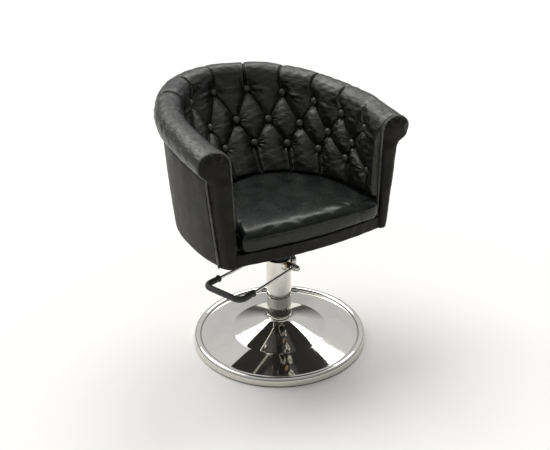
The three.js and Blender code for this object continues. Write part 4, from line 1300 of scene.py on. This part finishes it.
# %% Start shape of the cushion
CUSHION_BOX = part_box("seat_cushion")
CUSHION_HALF = 0.2470
CUSHION_FRONT_Y = -0.2285
CUSHION_BOW = 0.021
CUSHION_FOOT_Z = CUSHION_BOX[0].z + 0.006
CUSHION_TOP_Z = 0.5465
CUSHION_CLEARANCE = 0.009
INSET_LIMIT = 0.015


def cushion_outline(inset):
    """Plan of the cushion: the padded face's horseshoe behind, a bowed front."""
    behind = clear_of_face(np.linspace(0.03, 0.97, 150), CUSHION_CLEARANCE + inset)
    s = np.linspace(-1, 1, 90)
    half = CUSHION_HALF - inset
    corner = 0.014 * np.exp(-(1 - np.abs(s)) / 0.035)
    y = CUSHION_FRONT_Y + inset - CUSHION_BOW * (1 - s**2) + corner
    front = np.stack([s * half, y, np.zeros(90)], -1)
    return even_outline(np.concatenate([behind, front]), 320)


def cushion_layers():
    """[height, inset] pairs from the middle of the underside to the middle of the top."""
    low, high = CUSHION_FOOT_Z, CUSHION_TOP_Z
    under = [(low, 0.14), (low, 0.08), (low, 0.02), (low, 0.006)]
    band = [(low + 0.006, 0.001), (low + 0.02, 0), (high - 0.03, 0), (high - 0.018, 0.001)]
    edge = [(high - 0.010, 0.0035), (high - 0.004, 0.008), (high, 0.015)]
    top = [(high + 0.002, 0.026), (high + 0.0045, 0.06), (high + 0.006, 0.10), (high + 0.0065, 0.14)]
    return under + band + edge + top


def cushion_ring(z, inset):
    """One ring. A deep inset would turn faces over near the front corners, so past a limit
    the ring is shrunk towards the middle instead."""
    share = 1 - max(0, inset - INSET_LIMIT) / (CUSHION_HALF - INSET_LIMIT)
    ring = (cushion_outline(min(inset, INSET_LIMIT)) - SEAT_MIDDLE) * share + SEAT_MIDDLE
    ring[:, 2] = z
    return ring


def build_cushion():
    layers = [cushion_ring(z, inset) for z, inset in cushion_layers()]
    for end, at_start in ((layers[0], True), (layers[-1], False)):
        for share in (0.7, 0.4, 0.1):
            closer = (end - SEAT_MIDDLE) * share + SEAT_MIDDLE
            closer[:, 2] = end[:, 2]
            layers.insert(0 if at_start else len(layers), closer)
    return skin("seat_cushion_leather", np.stack(layers))


cushion = build_cushion()
print("cushion starts with", len(cushion.data.vertices), "points")

# %% Blow it up
VOXEL_SIZE = 0.006
PRESSURE = 2.6
FRAMES = 20
PUFF_CAP = 0.010


def simulate_cushion(piece):
    bpy.context.view_layer.objects.active = piece
    remesh = piece.modifiers.new("even mesh", "REMESH")
    remesh.mode = "VOXEL"
    remesh.voxel_size = VOXEL_SIZE
    bpy.ops.object.modifier_apply(modifier=remesh.name)
    start = np.array([v.co for v in piece.data.vertices])
    cloth = piece.modifiers.new("leather", "CLOTH")
    cloth.settings.use_pressure = True
    cloth.settings.uniform_pressure_force = PRESSURE
    cloth.settings.effector_weights.gravity = 0
    cloth.settings.quality = 5
    for step in range(1, FRAMES + 1):
        bpy.context.scene.frame_set(step)
    shape = piece.evaluated_get(bpy.context.evaluated_depsgraph_get())
    blown = np.array([v.co for v in shape.data.vertices])
    piece.modifiers.remove(cloth)
    bpy.context.scene.frame_set(1)
    moved = blown - start
    length = np.linalg.norm(moved, axis=1, keepdims=True)
    moved *= np.tanh(length / PUFF_CAP) * PUFF_CAP / np.maximum(length, 1e-9)
    piece.data.vertices.foreach_set("co", (start + moved).ravel())
    soften = piece.modifiers.new("soften", "SMOOTH")
    soften.factor = 0.5
    soften.iterations = 6
    bpy.ops.object.modifier_apply(modifier=soften.name)
    print("largest puff", round(float(length.max()) * 1000, 1), "mm, capped at", PUFF_CAP * 1000)


def smooth_finish(piece, levels=1):
    bpy.context.view_layer.objects.active = piece
    finer = piece.modifiers.new("finer", "SUBSURF")
    finer.levels = finer.render_levels = levels
    bpy.ops.object.modifier_apply(modifier=finer.name)
    piece.data.shade_smooth()


simulate_cushion(cushion)
smooth_finish(cushion)


def shape_top(piece):
    """Dents of use in the top and soft waves, laid over the blown-up shape."""
    points = np.array([v.co for v in piece.data.vertices])
    on_top = smoothstep(CUSHION_TOP_Z - 0.02, CUSHION_TOP_Z + 0.004, points[:, 2])
    waves = 0.0012 * ripples(points, 0.22, 51) + 0.0005 * ripples(points, 0.07, 52)
    points[:, 2] += on_top * waves
    start, room = CUSHION_TOP_Z + 0.005, CUSHION_BOX[1].z - CUSHION_TOP_Z
    over = np.maximum(0, points[:, 2] - start)
    points[:, 2] += room * (1 - np.exp(-over / room)) - over
    piece.data.vertices.foreach_set("co", points.ravel())
    piece.data.update()


shape_top(cushion)
show(cushion, "chair", cushion_leather, "cushion_leather", "seat_cushion")

# %% [markdown]
# The band is sewn to the top and to the underside with thin welts. They are laid on the
# outline that the cushion has after the simulation, found by casting rays at it from outside.

# %% Welts of the cushion
CUSHION_WELT_RADIUS = 0.0017


def welt_on_cushion(name, z):
    found = []
    for point in cushion_outline(0.0):
        outside_y = (point[1] - SEAT_MIDDLE_Y) * 1.3 + SEAT_MIDDLE_Y
        outside_point = Vector((point[0] * 1.3, outside_y, z))
        towards = Vector((0, SEAT_MIDDLE_Y, z)) - outside_point
        hit, place, normal, _ = cushion.ray_cast(outside_point, towards.normalized())
        if hit:
            found.append(place - normal * 0.0004)
    path = np.array(found)
    for _ in range(4):
        path = (np.roll(path, 1, 0) + 2 * path + np.roll(path, -1, 0)) / 4
    piece = tube(name, path, CUSHION_WELT_RADIUS, sides=10, closed=True)
    return show(piece, "chair", cushion_leather, "cushion_leather")


bpy.context.view_layer.update()
welt_on_cushion("cushion_top_welt", CUSHION_TOP_Z - 0.016)
welt_on_cushion("cushion_foot_welt", CUSHION_FOOT_Z + 0.006)

# %% [markdown]
# ## Round base
# The base cover is one pressed sheet: a rolled rim, a broad shallow dish and a cone up to
# the column. Turning a drawn profile is exactly how it is made, so a lathe it is, with
# enough sides that its reflections run smooth.

# %% Base cover and floor ring
BASE_RADIUS = 0.300
SHEET = 0.002


def curve_through(start, control, end, steps=12):
    t = np.linspace(0, 1, steps)[:, None]
    start, control, end = (np.array(p, float) for p in (start, control, end))
    return (start * (1 - t) ** 2 + control * 2 * t * (1 - t) + end * t * t).tolist()


def cover_outside():
    points = [[BASE_RADIUS, 0.0033], [BASE_RADIUS, 0.007]]
    points += curve_through((BASE_RADIUS, 0.009), (BASE_RADIUS, 0.031), (0.287, 0.031))
    points += curve_through((0.286, 0.031), (0.2755, 0.031), (0.273, 0.0213))
    dish = np.linspace(0.2715, 0.168, 24)
    fall = (dish - 0.165) / (0.273 - 0.165)
    points += [[r, 0.0360 - 0.015 * (1.08 * f - 0.08 * f * f)] for r, f in zip(dish, fall)]
    points += curve_through((0.1668, 0.0357), (0.165, 0.0360), (0.1632, 0.0366), 4)
    cone = np.linspace(0.160, 0.052, 14)
    points += [[r, 0.0360 + 0.0370 * (0.165 - r) / 0.115] for r in cone]
    points += curve_through((0.050, 0.0735), (0.042, 0.0765), (0.0383, 0.082), 8)
    return points


def sheet_profile(outline, thickness):
    outline = np.array(outline)
    along = np.gradient(outline, axis=0)
    along /= np.linalg.norm(along, axis=1)[:, None]
    inside = outline + np.stack([-along[:, 1], along[:, 0]], -1) * thickness
    inside[0, 1], inside[-1, 1] = outline[0, 1], outline[-1, 1]
    return np.concatenate([outline, inside[::-1]])


cover = turned("round_base_cover", sheet_profile(cover_outside(), SHEET), sides=256)
show(cover, "base", chrome, "chrome", "base_cover")
ring_profile = rounded([(0.287, 0.0), (0.299, 0.0), (0.2985, 0.003), (0.2875, 0.003)], 0.0012)
floor_ring = turned("base_floor_ring", ring_profile, sides=192)
show(floor_ring, "base", rubber, "rubber", "floor_ring")

# %% [markdown]
# ## Column
# The sleeve is a plain tube with a turned-in top, a lip at its foot and a thin groove where
# the lip is pressed on. The guide tube shows below it.

# %% Sleeve, lip, guide tube and valve cap
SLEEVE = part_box("outer_sleeve")
SLEEVE_RADIUS = SLEEVE[1].x
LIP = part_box("sleeve_lip")
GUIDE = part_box("guide_tube")
GUIDE_RADIUS = GUIDE[1].x
SHAFT_Z = 0.295
PEDAL_YAW = math.radians(200.4)
VALVE_YAW = math.radians(-20)

sleeve_profile = rounded([
    (SLEEVE_RADIUS - 0.0025, SLEEVE[0].z), (SLEEVE_RADIUS, SLEEVE[0].z), (SLEEVE_RADIUS, SLEEVE[1].z),
    (SLEEVE_RADIUS - 0.0035, SLEEVE[1].z), (SLEEVE_RADIUS - 0.0035, SLEEVE[1].z - 0.003),
    (SLEEVE_RADIUS - 0.0025, SLEEVE[1].z - 0.004),
], 0.0014)
sleeve = turned("column_sleeve", sleeve_profile, sides=128)
show(sleeve, "chair", chrome, "chrome", "outer_sleeve")
lip_profile = rounded([
    (GUIDE_RADIUS + 0.001, LIP[0].z), (SLEEVE_RADIUS - 0.001, LIP[0].z), (LIP[1].x, LIP[0].z + 0.0018),
    (SLEEVE_RADIUS + 0.0008, LIP[1].z), (GUIDE_RADIUS + 0.001, LIP[1].z),
], 0.0016)
show(turned("column_lip", lip_profile), "chair", chrome, "chrome", "sleeve_lip")
guide_profile = rounded([
    (GUIDE_RADIUS - 0.0035, GUIDE[0].z), (GUIDE_RADIUS, GUIDE[0].z), (GUIDE_RADIUS, GUIDE[1].z),
    (GUIDE_RADIUS - 0.0035, GUIDE[1].z),
], 0.001)
show(turned("column_guide_tube", guide_profile), "base", chrome, "chrome", "guide_tube")


def lay_along(piece, yaw, height=SHAFT_Z):
    """Turns a piece made about Z to lie level along that compass direction."""
    onto_column = Matrix.Translation((0, 0, height)) @ Matrix.Rotation(yaw, 4, "Z")
    piece.data.transform(onto_column @ Matrix.Rotation(math.pi / 2, 4, "Y"))
    piece.data.update()
    return piece


cap_profile = rounded([
    (0, 0.0424), (0.016, 0.0424), (0.016, 0.047), (0.0152, 0.0476), (0.0152, 0.0486), (0.016, 0.0492),
    (0.016, 0.0555), (0.0125, 0.0592), (0.0085, 0.0600), (0.0075, 0.0592), (0, 0.0592),
], 0.0009)
valve_cap = lay_along(turned("valve_cap_turned", cap_profile, sides=64), VALVE_YAW)
show(valve_cap, "chair", chrome, "chrome", "valve_cap")

# %% [markdown]
# ## Pedal
# A U of round bar runs from one hub on the cross shaft to the other. A moulded rubber grip
# covers its far end and ends in a thicker bead on each rod. The bar bends in smooth arcs,
# so its centreline is built from straights and quarter curves, like a bent rod.

# %% Pedal bar and grip
HUB_CENTRE = 0.067
PEDAL_REACH = 0.276
PEDAL_HALF_WIDTH = 0.076
PEDAL_RISE = 0.003
PEDAL_CORNER = 0.030
ROD_RADIUS = 0.0048
GRIP_RADIUS = 0.010
GRIP_START = PEDAL_REACH - 0.055
SHAFT_FRAME = Matrix.Translation((0, 0, SHAFT_Z)) @ Matrix.Rotation(PEDAL_YAW, 4, "Z")


def pedal_line(start_reach, spacing=0.003):
    """Centreline of the bar, in the shaft's frame, from one rod round to the other."""
    hub = Vector((0, HUB_CENTRE, 0))
    tip = Vector((PEDAL_REACH, PEDAL_HALF_WIDTH, PEDAL_RISE))
    first = hub.lerp(tip, start_reach / PEDAL_REACH)
    before = tip - (tip - first).normalized() * PEDAL_CORNER
    after = tip - Vector((0, PEDAL_CORNER, 0))
    middle = Vector((PEDAL_REACH, 0, PEDAL_RISE))
    steps = max(2, int((before - first).length / spacing))
    half = [tuple(first.lerp(before, t)) for t in np.linspace(0, 1, steps)]
    half += [tuple(p) for p in curve_through(before, tip, after, 14)[1:]]
    half += [tuple(after.lerp(middle, t)) for t in np.linspace(0, 1, 16)[1:]]
    half = np.array(half)
    return np.concatenate([half, (half[:-1] * np.array([1, -1, 1]))[::-1]])


def in_shaft_frame(piece):
    piece.data.transform(SHAFT_FRAME)
    piece.data.update()
    return piece


def grip_radii(path):
    """Full thickness all along, with a bead and a short neck at each end."""
    walked = walked_along(path)
    to_end = np.minimum(walked, walked[-1] - walked)
    bead = 0.0022 * np.exp(-(((to_end - 0.006) / 0.0045) ** 2))
    neck = 0.0010 * np.exp(-(((to_end - 0.0155) / 0.003) ** 2))
    return GRIP_RADIUS * (1 - 0.35 * np.exp(-to_end / 0.0012)) + bead - neck


rod = tube("pedal_rod", pedal_line(0.0), ROD_RADIUS, sides=24)
show(in_shaft_frame(rod), "pedal", chrome, "chrome", "pedal_bar")
grip_line = pedal_line(GRIP_START - 0.012, 0.0012)
grip = tube("pedal_rubber_grip", grip_line, grip_radii(grip_line), sides=32)
show(
    in_shaft_frame(grip), "pedal", rubber, "rubber",
    "pedal_grip", "grip_collar_near", "grip_collar_far",
)

# %% [markdown]
# Hubs, end caps and the shaft's bushes sit in line on the cross shaft. Each hub is a drum
# with a boss for the rod and a set screw, and each cap has a dark centre hole.

# %% Shaft hardware


def on_shaft(piece, sign):
    """Moves a piece made about Z on to the cross shaft, near end up for sign 1."""
    piece.data.transform(SHAFT_FRAME @ Matrix.Rotation(-sign * math.pi / 2, 4, "X"))
    piece.data.update()
    return piece


for end, sign in (("near", 1), ("far", -1)):
    hub_profile = rounded([
        (0.0073, 0.059), (0.0125, 0.059), (0.0125, 0.0635), (0.0118, 0.0642), (0.0118, 0.0698),
        (0.0125, 0.0705), (0.0125, 0.075), (0.0073, 0.075),
    ], 0.0007)
    hub = on_shaft(turned(f"pedal_hub_{end}_turned", hub_profile, sides=48), sign)
    show(hub, "pedal", chrome, "chrome", f"pedal_hub_{end}")
    knob_profile = rounded([
        (0.0073, 0.0753), (0.0095, 0.0753), (0.0100, 0.079), (0.0095, 0.0845), (0.0070, 0.0885),
        (0.0034, 0.0893), (0.0030, 0.0868), (0, 0.0868), (0, 0.0843), (0.0073, 0.0843),
    ], 0.0009)
    knob = on_shaft(turned(f"shaft_knob_{end}_turned", knob_profile, sides=48), sign)
    show(knob, "pedal", chrome, "chrome", f"shaft_knob_{end}")
    plug_profile = rounded([
        (0, 0.0869), (0.0028, 0.0869), (0.0026, 0.0876), (0, 0.0878),
    ], 0.0003)
    plug = on_shaft(turned(f"knob_plug_{end}", plug_profile, sides=24), sign)
    show(plug, "pedal", rubber, "rubber")
    screw_profile = rounded([
        (0, 0.0), (0.0026, 0.0), (0.0026, 0.0032), (0.0020, 0.0040), (0.0012, 0.0040),
        (0.0010, 0.0028), (0, 0.0028),
    ], 0.0003)
    screw = turned(f"hub_screw_{end}", screw_profile, sides=24)
    screw.data.transform(SHAFT_FRAME @ Matrix.Translation((0, sign * HUB_CENTRE, 0.0112)))
    show(screw, "pedal", satin_steel, "steel")

# %% [markdown]
# The return spring is a torsion spring on the near end of the shaft. Its leg reaches back
# round the sleeve and hooks on it, so it stays with the sleeve.

# %% Return spring
WIRE_RADIUS = 0.0011
COIL_RADIUS = 0.0098
COIL_TURNS = 5
HOOK_RADIUS = 0.0438
HOOK_BENDS = ((19, -0.0120), (22, -0.0138), (25, -0.0125), (29, -0.0092), (33, -0.0055), (36, -0.003))


def spring_path():
    turn = np.linspace(0, COIL_TURNS * 2 * math.pi, COIL_TURNS * 24)
    y = np.linspace(0.0574, 0.0480, len(turn))
    coil = np.stack([COIL_RADIUS * np.cos(turn), y, -COIL_RADIUS * np.sin(turn)], -1)
    leg = curve_through(coil[-1], (0.0125, 0.0470, -0.0080), (0.0128, 0.0425, -0.0100), 8)[1:]
    round_sleeve = []
    for degrees, rise in HOOK_BENDS:
        angle = math.radians(degrees)
        round_sleeve.append([HOOK_RADIUS * math.sin(angle), HOOK_RADIUS * math.cos(angle), rise])
    return np.concatenate([coil, leg, round_sleeve])


spring = tube("pedal_return_spring", spring_path(), WIRE_RADIUS, sides=10, guide=(0.05, 1, 0.1))
show(in_shaft_frame(spring), "chair", black_iron, "steel", "return_spring")
